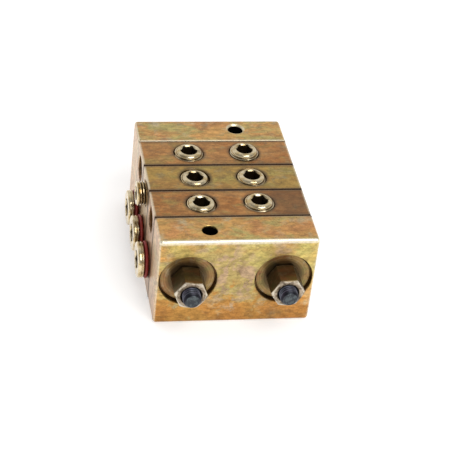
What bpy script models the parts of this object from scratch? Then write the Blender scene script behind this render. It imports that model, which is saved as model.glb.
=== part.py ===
"""Progressive lubrication divider block: three metering sections between two end blocks.

The blocks are stacked along Y and pulled together by two studs. The front end block, with
the nuts, is at -Y, and the inlet end block is at +Y. Z is up, and the origin is the middle of
the base. Left is -X and right is +X, as seen from the front. Metres.
"""
import math

import bmesh
import bpy
from mathutils import Matrix, Vector

# Clearance between two pieces, overshoot of every cutter, cone at the floor of a drilled port.
CLEARANCE = 0.0003
OVERSHOOT = 0.002
DRILL_POINT = 0.0015
MERGE = 0.00001

# The stack of blocks.
FRONT_BLOCK_LENGTH = 0.018
SECTION_LENGTH = 0.020
REAR_BLOCK_LENGTH = 0.018
SECTION_COUNT = 3
END_BLOCK_WIDTH = 0.070
SECTION_INSET = 0.0005
BLOCK_HEIGHT = 0.0445
JOINT_GAP = 0.0003
END_BLOCK_CHAMFER = 0.0008
SECTION_CHAMFER = 0.0003

# Vertical holes that take the bolts holding the divider to a machine.
MOUNT_HOLE_DIAMETER = 0.007
MOUNT_HOLE_CHAMFER = 0.0006
MOUNT_HOLE_OFFSET = 0.0123
FRONT_MOUNT_HOLE_INSET = 0.008
REAR_MOUNT_HOLE_INSET = 0.0077

# The two studs, their washers and extra high nuts.
STUD_DIAMETER = 0.008
STUD_PROJECTION = 0.0145
STUD_POINT = 0.001
STUD_SPACING = 0.0424
STUD_HOLE_ROOM = 0.001
STUD_END_INSET = 0.0005
SPOOL_TO_STUD_WALL = 0.0011
RECESS_ROOM = 0.0016
RECESS_DEPTH = 0.0038
FLAT_WASHER_DIAMETER = 0.024
FLAT_WASHER_THICKNESS = 0.0016
NUT_ACROSS_FLATS = 0.013
NUT_LENGTH = 0.012
NUT_CHAMFER = 0.0007
NUT_THREAD_CHAMFER = 0.0005
NUT_ROLL = {"left": math.radians(-7), "right": math.radians(2)}

# The metering spool and its bore. The stroke is set by the plugs that close the bore.
SPOOL_DIAMETER = 0.007
SPOOL_HEIGHT = 0.014
SPOOL_STROKE = 0.008
SPOOL_NECK_DIAMETER = 0.0044
SPOOL_NECK_LENGTH = 0.0155
SPOOL_CENTRE_LAND = 0.0036
SPOOL_END_DIAMETER = 0.005
SPOOL_END_LENGTH = 0.001
SPOOL_LAND_CHAMFER = 0.0003

# The plugs that close the spool bores, each on a sealing washer.
CLOSURE_THREAD_DIAMETER = 0.012
CLOSURE_THREAD_LENGTH = 0.0085
CLOSURE_HEAD_SETBACK = 0.0006
CLOSURE_HEAD_THICKNESS = 0.0028
CLOSURE_HEAD_CHAMFER = 0.0006
CLOSURE_GROOVE = 0.0003
CLOSURE_SOCKET_ACROSS_FLATS = 0.008
CLOSURE_SOCKET_DEPTH = 0.006
SEAL_WASHER_SPACING = 0.003
SEAL_WASHER_THICKNESS = 0.0015

# Outlet ports in the tops of the sections, and the taper plugs in them.
TOP_PORT_SPACING = 0.026
TOP_PORT_ROOM = 0.005
TOP_PORT_MOUTH = 0.0003
TOP_PLUG_DIAMETER = 0.0132
TOP_PLUG_LENGTH = 0.0085
TOP_PLUG_CHAMFER = 0.0007
TOP_PLUG_SOCKET_ACROSS_FLATS = 0.007
TOP_PLUG_SOCKET_DEPTH = 0.005
PLUG_TAPER = 1 / 16
TOP_PLUG_STAND = {
    (1, "left"): 0.0016,
    (1, "right"): 0.0021,
    (2, "left"): 0.0007,
    (2, "right"): 0.0012,
    (3, "left"): 0.0010,
    (3, "right"): 0.0016,
}

# Outlet ports in the sides of the sections. One of them holds a plug that is half unscrewed.
SIDE_PORT_DIAMETER = 0.0118
SIDE_PORT_DEPTH = 0.011
SIDE_PORT_DROP = 0.0083
SIDE_PORT_MOUTH = 0.0004
SIDE_PLUG_STAND = {(2, "left"): 0.0042}
SIDE_PLUG_LENGTH = 0.009
SIDE_PLUG_CHAMFER = 0.0006
SIDE_PLUG_SOCKET_ACROSS_FLATS = 0.006
SIDE_PLUG_SOCKET_DEPTH = 0.0055

# The inlet port in the rear face, and the drillings that join ports, spools and sections.
INLET_PORT_DIAMETER = 0.0132
INLET_PORT_DEPTH = 0.012
INLET_PORT_MOUTH = 0.0006
GALLERY_DIAMETER = 0.0042
GALLERY_RISE = 0.005
OUTLET_DRILL_DIAMETER = 0.004
CROSS_DRILL_DIAMETER = 0.004
CROSS_DRILL_DROP = 0.0032
SIGNAL_DRILL_DIAMETER = 0.003
SIGNAL_PORT_SPACING = 0.023
SIGNAL_PORT_DROP = 0.008
CROSSOVER_DEPTH = 0.007

# The O-rings that seal the drillings at every joint face.
O_RING_INNER_DIAMETER = 0.0048
O_RING_SECTION = 0.0014

# Facets round each kind of form.
TURNED_SIDES = 24
PORT_SIDES = 20
STUD_SIDES = 16
BORE_SIDES = 12
DRILL_SIDES = 8
O_RING_SIDES = 12
O_RING_SECTION_SIDES = 6
SHARP_ANGLE = math.radians(30)

# Places that follow from the sizes above.
STACK_LENGTH = FRONT_BLOCK_LENGTH + SECTION_COUNT * SECTION_LENGTH + REAR_BLOCK_LENGTH
FRONT_FACE_Y = -STACK_LENGTH / 2
REAR_FACE_Y = STACK_LENGTH / 2
FRONT_JOINT_Y = FRONT_FACE_Y + FRONT_BLOCK_LENGTH
REAR_JOINT_Y = REAR_FACE_Y - REAR_BLOCK_LENGTH
LEFT_FACE_X = -END_BLOCK_WIDTH / 2
RIGHT_FACE_X = END_BLOCK_WIDTH / 2
SECTION_RIGHT_X = RIGHT_FACE_X - SECTION_INSET
SPOOL_BORE_DIAMETER = SPOOL_DIAMETER + 2 * CLEARANCE
STUD_HOLE_DIAMETER = STUD_DIAMETER + STUD_HOLE_ROOM
STUD_HEIGHT = SPOOL_HEIGHT + SPOOL_BORE_DIAMETER / 2 + SPOOL_TO_STUD_WALL + STUD_HOLE_DIAMETER / 2
STUD_LENGTH = STACK_LENGTH - STUD_END_INSET + STUD_PROJECTION
RECESS_DIAMETER = FLAT_WASHER_DIAMETER + RECESS_ROOM
SEAL_WASHER_DIAMETER = SECTION_LENGTH - SEAL_WASHER_SPACING
CLOSURE_HEAD_DIAMETER = SEAL_WASHER_DIAMETER - CLOSURE_HEAD_SETBACK
CLOSURE_BORE_DEPTH = CLOSURE_THREAD_LENGTH + CLEARANCE
CLOSURE_HEAD_BASE = SEAL_WASHER_THICKNESS + 2 * CLEARANCE
CHAMBER_LEFT_X = LEFT_FACE_X + CLOSURE_THREAD_LENGTH
CHAMBER_RIGHT_X = SECTION_RIGHT_X - CLOSURE_THREAD_LENGTH
SPOOL_LENGTH = CHAMBER_RIGHT_X - CHAMBER_LEFT_X - SPOOL_STROKE - 2 * CLEARANCE
TOP_PORT_DEPTH = TOP_PLUG_LENGTH + TOP_PORT_ROOM
SIDE_PORT_HEIGHT = BLOCK_HEIGHT - SIDE_PORT_DROP
GALLERY_HEIGHT = SPOOL_HEIGHT + GALLERY_RISE
CROSS_DRILL_HEIGHT = SIDE_PORT_HEIGHT - CROSS_DRILL_DROP
SIGNAL_PORT_HEIGHT = SPOOL_HEIGHT - SIGNAL_PORT_DROP
O_RING_SEAT_DEPTH = O_RING_SECTION + 2 * CLEARANCE - JOINT_GAP
O_RING_SEAT_DIAMETER = O_RING_INNER_DIAMETER + 2 * O_RING_SECTION + 2 * CLEARANCE

# Turns that point a piece's own +Z out of the face that carries it.
FACING = {
    "top": (0.0, 0.0, 0.0),
    "left": (0.0, -math.pi / 2, 0.0),
    "right": (0.0, math.pi / 2, 0.0),
    "front": (math.pi / 2, 0.0, 0.0),
    "rear": (-math.pi / 2, 0.0, 0.0),
}
SIDES = {"left": -1, "right": 1}

YELLOW_SECTIONS = (2,)

# Colour, metallic value and roughness of each finish.
FINISHES = {
    "yellow_zinc_block": ((0.52, 0.33, 0.12), 0.9, 0.38),
    "brown_zinc_section": ((0.40, 0.21, 0.09), 0.9, 0.42),
    "bright_plug_steel": ((0.55, 0.47, 0.33), 1.0, 0.30),
    "tan_washer_zinc": ((0.46, 0.31, 0.17), 0.9, 0.42),
    "olive_nut_steel": ((0.42, 0.33, 0.20), 0.9, 0.40),
    "dark_stud_steel": ((0.05, 0.05, 0.07), 0.9, 0.45),
    "ground_spool_steel": ((0.60, 0.60, 0.60), 1.0, 0.18),
    "red_seal": ((0.16, 0.01, 0.01), 0.0, 0.55),
    "black_rubber": ((0.02, 0.02, 0.02), 0.0, 0.70),
}


def clear_scene():
    for item in list(bpy.data.objects):
        bpy.data.objects.remove(item, do_unlink=True)


def make_collection(name, parent):
    collection = bpy.data.collections.new(name)
    parent.children.link(collection)
    return collection


def make_finish(name):
    colour, metallic, roughness = FINISHES[name]
    finish = bpy.data.materials.new(name)
    finish.use_nodes = True
    shader = finish.node_tree.nodes["Principled BSDF"]
    shader.inputs["Base Color"].default_value = (*colour, 1.0)
    shader.inputs["Metallic"].default_value = metallic
    shader.inputs["Roughness"].default_value = roughness
    return finish


def add_object(name, mesh, collection, place=(0, 0, 0), turn=(0, 0, 0)):
    item = bpy.data.objects.new(name, mesh)
    item.location = place
    item.rotation_euler = turn
    collection.objects.link(item)
    return item


def mesh_from(name, shape):
    mesh = bpy.data.meshes.new(name)
    shape.to_mesh(mesh)
    shape.free()
    return mesh


def add_box(name, low, high, collection):
    """A box between two corners, its origin at its middle."""
    low = Vector(low)
    high = Vector(high)
    shape = bmesh.new()
    bmesh.ops.create_cube(shape, size=1.0)
    bmesh.ops.scale(shape, vec=high - low, verts=shape.verts)
    return add_object(name, mesh_from(name, shape), collection, place=(low + high) / 2)


def add_drill(name, start, end, diameter, collection, sides=DRILL_SIDES):
    """A straight drill between two points."""
    start = Vector(start)
    end = Vector(end)
    path = end - start
    shape = bmesh.new()
    bmesh.ops.create_cone(
        shape, cap_ends=True, segments=sides, radius1=diameter / 2, radius2=diameter / 2, depth=path.length
    )
    turn = path.to_track_quat("Z", "Y").to_euler()
    return add_object(name, mesh_from(name, shape), collection, place=(start + end) / 2, turn=turn)


def add_hexagon(name, across_flats, low, high, collection, place, turn, roll=0.0):
    """A hexagonal prism along its own Z, from low to high. Unrolled, it has a flat at +Y."""
    shape = bmesh.new()
    radius = across_flats / 2 / math.cos(math.pi / 6)
    bmesh.ops.create_cone(shape, cap_ends=True, segments=6, radius1=radius, radius2=radius, depth=high - low)
    spin = Matrix.Rotation(roll + math.pi / 6, 3, "Z")
    bmesh.ops.rotate(shape, cent=(0, 0, 0), matrix=spin, verts=shape.verts)
    bmesh.ops.translate(shape, vec=(0, 0, (low + high) / 2), verts=shape.verts)
    return add_object(name, mesh_from(name, shape), collection, place=place, turn=turn)


def add_turned(name, profile, collection, place=(0, 0, 0), turn=(0, 0, 0), sides=TURNED_SIDES, ring=False):
    """A form turned about its own Z from (radius, height) points that run down its outer side.

    A ring's profile is a closed loop. Any other profile starts and ends on the axis.
    """
    shape = bmesh.new()
    points = [shape.verts.new((radius, 0, height)) for radius, height in profile]
    for first, second in zip(points, points[1:]):
        shape.edges.new((first, second))
    if ring:
        shape.edges.new((points[-1], points[0]))
    item = add_object(name, mesh_from(name, shape), collection, place=place, turn=turn)
    screw = item.modifiers.new("turned", "SCREW")
    screw.steps = sides
    screw.render_steps = sides
    screw.use_merge_vertices = True
    screw.merge_threshold = MERGE
    return item


def chamfer_edges(item, width, joint_side=0, joint_width=0.0):
    """Chamfer a box. Edges on its joint face, at -Y or +Y, may have a smaller chamfer."""
    mesh = item.data
    weights = mesh.attributes.new("bevel_weight_edge", "FLOAT", "EDGE")
    for edge in mesh.edges:
        ends = [mesh.vertices[index].co.y * joint_side for index in edge.vertices]
        weights.data[edge.index].value = joint_width / width if min(ends) > 0 else 1.0
    bevel = item.modifiers.new("chamfer", "BEVEL")
    bevel.width = width
    bevel.segments = 1
    bevel.limit_method = "WEIGHT"


def cut(item, cutters):
    boolean = item.modifiers.new("drilled", "BOOLEAN")
    boolean.operation = "DIFFERENCE"
    boolean.solver = "EXACT"
    boolean.operand_type = "COLLECTION"
    boolean.collection = cutters


def trim_to(item, envelope):
    boolean = item.modifiers.new("chamfered", "BOOLEAN")
    boolean.operation = "INTERSECT"
    boolean.solver = "EXACT"
    boolean.object = envelope


def hide_cutters(collection):
    for item in collection.all_objects:
        item.hide_render = True
        item.display_type = "WIRE"


def finish_piece(item, finish):
    """Turn a piece's modifiers into its mesh, and shade it smooth but for its sharp edges."""
    bpy.context.view_layer.update()
    depsgraph = bpy.context.evaluated_depsgraph_get()
    mesh = bpy.data.meshes.new_from_object(item.evaluated_get(depsgraph))
    item.modifiers.clear()
    item.data = mesh
    mesh.materials.clear()
    mesh.materials.append(finish)
    mesh.shade_smooth()
    mesh.set_sharp_from_angle(angle=SHARP_ANGLE)


def add_port_cutter(name, diameter, depth, mouth, collection, place, facing):
    """A round port with a chamfered mouth and a drill point, its own Z pointing out."""
    radius = diameter / 2
    profile = [
        (0, OVERSHOOT),
        (radius + mouth, OVERSHOOT),
        (radius + mouth, 0),
        (radius, -mouth),
        (radius, -depth),
        (0, -depth - DRILL_POINT),
    ]
    return add_turned(name, profile, collection, place, FACING[facing], PORT_SIDES)


def section_centre(number):
    """Sections are numbered from the inlet end."""
    return REAR_JOINT_Y - (number - 0.5) * SECTION_LENGTH


def side_face(side):
    return LEFT_FACE_X if side == "left" else SECTION_RIGHT_X


def joint_drillings():
    """X and Z of the three drillings that cross every joint face."""
    return {
        "gallery": (0.0, GALLERY_HEIGHT),
        "signal_left": (-SIGNAL_PORT_SPACING / 2, SIGNAL_PORT_HEIGHT),
        "signal_right": (SIGNAL_PORT_SPACING / 2, SIGNAL_PORT_HEIGHT),
    }


def add_stud_holes(name, low_y, high_y, collection):
    for side, sign in SIDES.items():
        x = sign * STUD_SPACING / 2
        add_drill(
            f"{name}_stud_hole_{side}",
            (x, low_y, STUD_HEIGHT),
            (x, high_y, STUD_HEIGHT),
            STUD_HOLE_DIAMETER,
            collection,
            BORE_SIDES,
        )


def add_o_ring_seats(name, face_y, collection):
    for drilling, (x, z) in joint_drillings().items():
        add_drill(
            f"{name}_seat_{drilling}",
            (x, face_y - OVERSHOOT, z),
            (x, face_y + O_RING_SEAT_DEPTH, z),
            O_RING_SEAT_DIAMETER,
            collection,
            BORE_SIDES,
        )


def add_crossover(name, face_y, depth, collection):
    """Two drillings that meet inside an end block and join its signal ports."""
    for side, sign in SIDES.items():
        start = Vector((sign * SIGNAL_PORT_SPACING / 2, face_y, SIGNAL_PORT_HEIGHT))
        meeting = Vector((0, face_y + depth, SIGNAL_PORT_HEIGHT))
        reach = (meeting - start).normalized() * OVERSHOOT
        add_drill(f"{name}_crossover_{side}", start - reach, meeting, SIGNAL_DRILL_DIAMETER, collection)


def add_mount_hole(name, x, y, collection):
    """A through hole with a chamfer at both mouths."""
    radius = MOUNT_HOLE_DIAMETER / 2
    wide = radius + MOUNT_HOLE_CHAMFER
    profile = [
        (0, BLOCK_HEIGHT + OVERSHOOT),
        (wide, BLOCK_HEIGHT + OVERSHOOT),
        (wide, BLOCK_HEIGHT),
        (radius, BLOCK_HEIGHT - MOUNT_HOLE_CHAMFER),
        (radius, MOUNT_HOLE_CHAMFER),
        (wide, 0),
        (wide, -OVERSHOOT),
        (0, -OVERSHOOT),
    ]
    add_turned(f"{name}_mount_hole", profile, collection, (x, y, 0))


def make_front_end_block(parts, cutters, finish):
    """The end block with the nut recesses. Its crossover turns the last section's signals round."""
    name = "front_end_block"
    joint_face = FRONT_JOINT_Y - JOINT_GAP / 2
    block = add_box(name, (LEFT_FACE_X, FRONT_FACE_Y, 0), (RIGHT_FACE_X, joint_face, BLOCK_HEIGHT), parts)
    chamfer_edges(block, END_BLOCK_CHAMFER, joint_side=1, joint_width=SECTION_CHAMFER)
    holes = make_collection(f"{name}_cutters", cutters)
    add_stud_holes(name, FRONT_FACE_Y - OVERSHOOT, joint_face + OVERSHOOT, holes)
    for side, sign in SIDES.items():
        x = sign * STUD_SPACING / 2
        add_drill(
            f"{name}_recess_{side}",
            (x, FRONT_FACE_Y - OVERSHOOT, STUD_HEIGHT),
            (x, FRONT_FACE_Y + RECESS_DEPTH, STUD_HEIGHT),
            RECESS_DIAMETER,
            holes,
            TURNED_SIDES,
        )
    add_mount_hole(name, -MOUNT_HOLE_OFFSET, FRONT_FACE_Y + FRONT_MOUNT_HOLE_INSET, holes)
    add_crossover(name, joint_face, -CROSSOVER_DEPTH, holes)
    cut(block, holes)
    finish_piece(block, finish)


def make_rear_inlet_block(parts, cutters, finish):
    """The end block with the inlet port. The studs are screwed into it."""
    name = "rear_inlet_block"
    joint_face = REAR_JOINT_Y + JOINT_GAP / 2
    block = add_box(name, (LEFT_FACE_X, joint_face, 0), (RIGHT_FACE_X, REAR_FACE_Y, BLOCK_HEIGHT), parts)
    chamfer_edges(block, END_BLOCK_CHAMFER, joint_side=-1, joint_width=SECTION_CHAMFER)
    holes = make_collection(f"{name}_cutters", cutters)
    for side, sign in SIDES.items():
        x = sign * STUD_SPACING / 2
        add_drill(
            f"{name}_stud_thread_{side}",
            (x, joint_face - OVERSHOOT, STUD_HEIGHT),
            (x, REAR_FACE_Y + OVERSHOOT, STUD_HEIGHT),
            STUD_DIAMETER + 2 * CLEARANCE,
            holes,
            BORE_SIDES,
        )
    add_port_cutter(
        f"{name}_inlet_port",
        INLET_PORT_DIAMETER,
        INLET_PORT_DEPTH,
        INLET_PORT_MOUTH,
        holes,
        (0, REAR_FACE_Y, GALLERY_HEIGHT),
        "rear",
    )
    add_drill(
        f"{name}_gallery",
        (0, joint_face - OVERSHOOT, GALLERY_HEIGHT),
        (0, REAR_FACE_Y - INLET_PORT_DEPTH, GALLERY_HEIGHT),
        GALLERY_DIAMETER,
        holes,
    )
    add_mount_hole(name, MOUNT_HOLE_OFFSET, REAR_FACE_Y - REAR_MOUNT_HOLE_INSET, holes)
    add_o_ring_seats(name, joint_face, holes)
    add_crossover(name, joint_face, CROSSOVER_DEPTH, holes)
    cut(block, holes)
    finish_piece(block, finish)


def add_section_drillings(name, centre_y, front_y, rear_y, collection):
    """The gallery over the spool, and each side's outlet and signal drillings."""
    add_drill(
        f"{name}_gallery",
        (0, front_y - OVERSHOOT, GALLERY_HEIGHT),
        (0, rear_y + OVERSHOOT, GALLERY_HEIGHT),
        GALLERY_DIAMETER,
        collection,
    )
    chambers = {"left": CHAMBER_LEFT_X, "right": CHAMBER_RIGHT_X}
    for side, sign in SIDES.items():
        outlet_x = sign * TOP_PORT_SPACING / 2
        signal_x = sign * SIGNAL_PORT_SPACING / 2
        port_floor_x = side_face(side) - sign * SIDE_PORT_DEPTH
        chamber_x = chambers[side] - sign * SIGNAL_DRILL_DIAMETER
        add_drill(
            f"{name}_outlet_drill_{side}",
            (outlet_x, centre_y, SPOOL_HEIGHT),
            (outlet_x, centre_y, BLOCK_HEIGHT - TOP_PORT_DEPTH),
            OUTLET_DRILL_DIAMETER,
            collection,
        )
        add_drill(
            f"{name}_cross_drill_{side}",
            (outlet_x, centre_y, CROSS_DRILL_HEIGHT),
            (port_floor_x + sign * OVERSHOOT, centre_y, CROSS_DRILL_HEIGHT),
            CROSS_DRILL_DIAMETER,
            collection,
        )
        valve_port = Vector((signal_x, rear_y, SIGNAL_PORT_HEIGHT))
        valve_end = Vector((signal_x, centre_y, SPOOL_HEIGHT))
        reach = (valve_end - valve_port).normalized() * OVERSHOOT
        add_drill(f"{name}_valve_drill_{side}", valve_port - reach, valve_end, SIGNAL_DRILL_DIAMETER, collection)
        signal_port = Vector((signal_x, front_y, SIGNAL_PORT_HEIGHT))
        signal_end = Vector((chamber_x, centre_y, SPOOL_HEIGHT))
        reach = (signal_end - signal_port).normalized() * OVERSHOOT
        add_drill(f"{name}_signal_drill_{side}", signal_port - reach, signal_end, SIGNAL_DRILL_DIAMETER, collection)


def make_metering_section(number, parts, cutters, finish):
    """One section: spool bore, outlet ports, stud holes and the drillings between them."""
    name = f"metering_section_{number}"
    centre_y = section_centre(number)
    front_y = centre_y - SECTION_LENGTH / 2 + JOINT_GAP / 2
    rear_y = centre_y + SECTION_LENGTH / 2 - JOINT_GAP / 2
    block = add_box(name, (LEFT_FACE_X, front_y, 0), (SECTION_RIGHT_X, rear_y, BLOCK_HEIGHT), parts)
    chamfer_edges(block, SECTION_CHAMFER)
    holes = make_collection(f"{name}_cutters", cutters)
    add_drill(
        f"{name}_spool_bore",
        (CHAMBER_LEFT_X, centre_y, SPOOL_HEIGHT),
        (CHAMBER_RIGHT_X, centre_y, SPOOL_HEIGHT),
        SPOOL_BORE_DIAMETER,
        holes,
        BORE_SIDES,
    )
    for side, sign in SIDES.items():
        face_x = side_face(side)
        add_drill(
            f"{name}_closure_port_{side}",
            (face_x + sign * OVERSHOOT, centre_y, SPOOL_HEIGHT),
            (face_x - sign * CLOSURE_BORE_DEPTH, centre_y, SPOOL_HEIGHT),
            CLOSURE_THREAD_DIAMETER + 2 * CLEARANCE,
            holes,
            PORT_SIDES,
        )
        add_port_cutter(
            f"{name}_side_port_{side}",
            SIDE_PORT_DIAMETER,
            SIDE_PORT_DEPTH,
            SIDE_PORT_MOUTH,
            holes,
            (face_x, centre_y, SIDE_PORT_HEIGHT),
            side,
        )
        add_port_cutter(
            f"{name}_top_port_{side}",
            TOP_PLUG_DIAMETER + 2 * CLEARANCE,
            TOP_PORT_DEPTH,
            TOP_PORT_MOUTH,
            holes,
            (sign * TOP_PORT_SPACING / 2, centre_y, BLOCK_HEIGHT),
            "top",
        )
    add_stud_holes(name, front_y - OVERSHOOT, rear_y + OVERSHOOT, holes)
    add_section_drillings(name, centre_y, front_y, rear_y, holes)
    add_o_ring_seats(name, front_y, holes)
    cut(block, holes)
    finish_piece(block, finish)


def make_spool(number, parts, finish):
    """A spool with three lands and two necks, resting at one end of its stroke."""
    land = SPOOL_DIAMETER / 2
    neck = SPOOL_NECK_DIAMETER / 2
    edge = SPOOL_LAND_CHAMFER
    end_radius = SPOOL_END_DIAMETER / 2
    half = SPOOL_LENGTH / 2
    shoulder = half - SPOOL_END_LENGTH
    neck_inner = SPOOL_CENTRE_LAND / 2
    neck_outer = neck_inner + SPOOL_NECK_LENGTH
    upper = [
        (0, half),
        (end_radius, half),
        (end_radius, shoulder),
        (land - edge, shoulder),
        (land, shoulder - edge),
        (land, neck_outer),
        (neck, neck_outer),
        (neck, neck_inner),
        (land, neck_inner),
    ]
    lower = [(radius, -height) for radius, height in reversed(upper)]
    middle_x = (CHAMBER_LEFT_X + CHAMBER_RIGHT_X) / 2
    rest_side = -1 if number % 2 == 0 else 1
    place = (middle_x + rest_side * SPOOL_STROKE / 2, section_centre(number), SPOOL_HEIGHT)
    spool = add_turned(f"spool_{number}", upper + lower, parts, place, FACING["right"], BORE_SIDES)
    finish_piece(spool, finish)


def make_closure_plug(number, side, parts, cutters, finish):
    """The plug that closes one end of a spool bore: shank, round head with a groove, hex socket."""
    name = f"closure_plug_{side}_{number}"
    head = CLOSURE_HEAD_DIAMETER / 2
    shank = CLOSURE_THREAD_DIAMETER / 2
    edge = CLOSURE_HEAD_CHAMFER
    groove = CLOSURE_GROOVE
    top = CLOSURE_HEAD_BASE + CLOSURE_HEAD_THICKNESS
    groove_z = CLOSURE_HEAD_BASE + (CLOSURE_HEAD_THICKNESS - edge) / 2
    profile = [
        (0, top),
        (head - edge, top),
        (head, top - edge),
        (head, groove_z + groove),
        (head - groove, groove_z),
        (head, groove_z - groove),
        (head, CLOSURE_HEAD_BASE),
        (shank, CLOSURE_HEAD_BASE),
        (shank, -CLOSURE_THREAD_LENGTH),
        (0, -CLOSURE_THREAD_LENGTH),
    ]
    place = (side_face(side), section_centre(number), SPOOL_HEIGHT)
    plug = add_turned(name, profile, parts, place, FACING[side])
    holes = make_collection(f"{name}_cutters", cutters)
    add_hexagon(
        f"{name}_socket",
        CLOSURE_SOCKET_ACROSS_FLATS,
        top - CLOSURE_SOCKET_DEPTH,
        top + OVERSHOOT,
        holes,
        place,
        FACING[side],
    )
    cut(plug, holes)
    finish_piece(plug, finish)


def make_ring(name, inner, outer, low, high, parts, place, turn, finish):
    """A flat washer between two radii and two heights on its own Z."""
    profile = [(outer, high), (outer, low), (inner, low), (inner, high)]
    ring = add_turned(name, profile, parts, place, turn, ring=True)
    finish_piece(ring, finish)


def make_seal_washer(number, side, parts, finish):
    place = (side_face(side), section_centre(number), SPOOL_HEIGHT)
    make_ring(
        f"seal_washer_{side}_{number}",
        CLOSURE_THREAD_DIAMETER / 2 + CLEARANCE,
        SEAL_WASHER_DIAMETER / 2,
        CLEARANCE,
        CLEARANCE + SEAL_WASHER_THICKNESS,
        parts,
        place,
        FACING[side],
        finish,
    )


def make_taper_plug(name, diameter, length, stand, chamfer, socket, parts, cutters, place, facing, finish):
    """A headless taper plug with a hex socket, standing proud of its port by the stand."""
    radius = diameter / 2
    tip = radius - length * PLUG_TAPER / 2
    profile = [
        (0, stand),
        (radius - chamfer, stand),
        (radius, stand - chamfer),
        (tip, stand - length + chamfer),
        (tip - chamfer, stand - length),
        (0, stand - length),
    ]
    plug = add_turned(name, profile, parts, place, FACING[facing])
    across_flats, depth = socket
    holes = make_collection(f"{name}_cutters", cutters)
    add_hexagon(
        f"{name}_socket", across_flats, stand - depth, stand + OVERSHOOT, holes, place, FACING[facing]
    )
    cut(plug, holes)
    finish_piece(plug, finish)


def make_top_plugs(number, parts, cutters, finish):
    for side, sign in SIDES.items():
        make_taper_plug(
            f"top_plug_{side}_{number}",
            TOP_PLUG_DIAMETER,
            TOP_PLUG_LENGTH,
            TOP_PLUG_STAND[number, side],
            TOP_PLUG_CHAMFER,
            (TOP_PLUG_SOCKET_ACROSS_FLATS, TOP_PLUG_SOCKET_DEPTH),
            parts,
            cutters,
            (sign * TOP_PORT_SPACING / 2, section_centre(number), BLOCK_HEIGHT),
            "top",
            finish,
        )


def make_side_plugs(parts, cutters, finish):
    for (number, side), stand in SIDE_PLUG_STAND.items():
        make_taper_plug(
            f"side_plug_{side}_{number}",
            SIDE_PORT_DIAMETER - 2 * CLEARANCE,
            SIDE_PLUG_LENGTH,
            stand,
            SIDE_PLUG_CHAMFER,
            (SIDE_PLUG_SOCKET_ACROSS_FLATS, SIDE_PLUG_SOCKET_DEPTH),
            parts,
            cutters,
            (side_face(side), section_centre(number), SIDE_PORT_HEIGHT),
            side,
            finish,
        )


def make_stud(side, parts, finish):
    """A stud from just inside the rear face to past the nut, with a cone at each end."""
    radius = STUD_DIAMETER / 2
    rear_end = REAR_FACE_Y - STUD_END_INSET
    profile = [
        (0, STUD_LENGTH),
        (radius - STUD_POINT, STUD_LENGTH),
        (radius, STUD_LENGTH - STUD_POINT),
        (radius, STUD_POINT),
        (radius - STUD_POINT, 0),
        (0, 0),
    ]
    place = (SIDES[side] * STUD_SPACING / 2, rear_end, STUD_HEIGHT)
    stud = add_turned(f"tie_stud_{side}", profile, parts, place, FACING["front"], STUD_SIDES)
    finish_piece(stud, finish)


def make_flat_washer(side, parts, finish):
    place = (SIDES[side] * STUD_SPACING / 2, FRONT_FACE_Y + RECESS_DEPTH, STUD_HEIGHT)
    make_ring(
        f"flat_washer_{side}",
        STUD_DIAMETER / 2 + CLEARANCE,
        FLAT_WASHER_DIAMETER / 2,
        CLEARANCE,
        CLEARANCE + FLAT_WASHER_THICKNESS,
        parts,
        place,
        FACING["front"],
        finish,
    )


def make_nut(side, parts, cutters, finish):
    """An extra high hexagon nut: chamfered corners at both ends and a countersunk thread."""
    name = f"long_nut_{side}"
    seat = FRONT_FACE_Y + RECESS_DEPTH - FLAT_WASHER_THICKNESS - 2 * CLEARANCE
    place = (SIDES[side] * STUD_SPACING / 2, seat, STUD_HEIGHT)
    nut = add_hexagon(name, NUT_ACROSS_FLATS, 0, NUT_LENGTH, parts, place, FACING["front"], NUT_ROLL[side])
    corner = NUT_ACROSS_FLATS / 2 / math.cos(math.pi / 6) + NUT_CHAMFER
    face = NUT_ACROSS_FLATS / 2 - NUT_CHAMFER / 2
    rise = (corner - face) * math.tan(math.radians(30))
    envelope_profile = [
        (0, NUT_LENGTH),
        (face, NUT_LENGTH),
        (corner, NUT_LENGTH - rise),
        (corner, rise),
        (face, 0),
        (0, 0),
    ]
    envelope = add_turned(f"{name}_envelope", envelope_profile, cutters, place, FACING["front"])
    trim_to(nut, envelope)
    bore = STUD_DIAMETER / 2 + CLEARANCE
    mouth = bore + NUT_THREAD_CHAMFER
    bore_profile = [
        (0, NUT_LENGTH + OVERSHOOT),
        (mouth, NUT_LENGTH + OVERSHOOT),
        (mouth, NUT_LENGTH),
        (bore, NUT_LENGTH - NUT_THREAD_CHAMFER),
        (bore, NUT_THREAD_CHAMFER),
        (mouth, 0),
        (mouth, -OVERSHOOT),
        (0, -OVERSHOOT),
    ]
    holes = make_collection(f"{name}_cutters", cutters)
    add_turned(f"{name}_bore", bore_profile, holes, place, FACING["front"], STUD_SIDES)
    cut(nut, holes)
    finish_piece(nut, finish)


def make_o_rings(parts, finish):
    """Three rings at each joint, in the seats of the block behind the joint."""
    bpy.ops.mesh.primitive_torus_add(
        major_segments=O_RING_SIDES,
        minor_segments=O_RING_SECTION_SIDES,
        major_radius=(O_RING_INNER_DIAMETER + O_RING_SECTION) / 2,
        minor_radius=O_RING_SECTION / 2,
    )
    pattern = bpy.context.object
    pattern.data.materials.append(finish)
    pattern.data.shade_smooth()
    for joint in range(SECTION_COUNT + 1):
        seat_floor = FRONT_JOINT_Y + joint * SECTION_LENGTH + JOINT_GAP / 2 + O_RING_SEAT_DEPTH
        ring_y = seat_floor - CLEARANCE - O_RING_SECTION / 2
        for drilling, (x, z) in joint_drillings().items():
            name = f"o_ring_{drilling}_joint_{joint + 1}"
            add_object(name, pattern.data, parts, (x, ring_y, z), FACING["front"])
    bpy.data.objects.remove(pattern, do_unlink=True)


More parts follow.
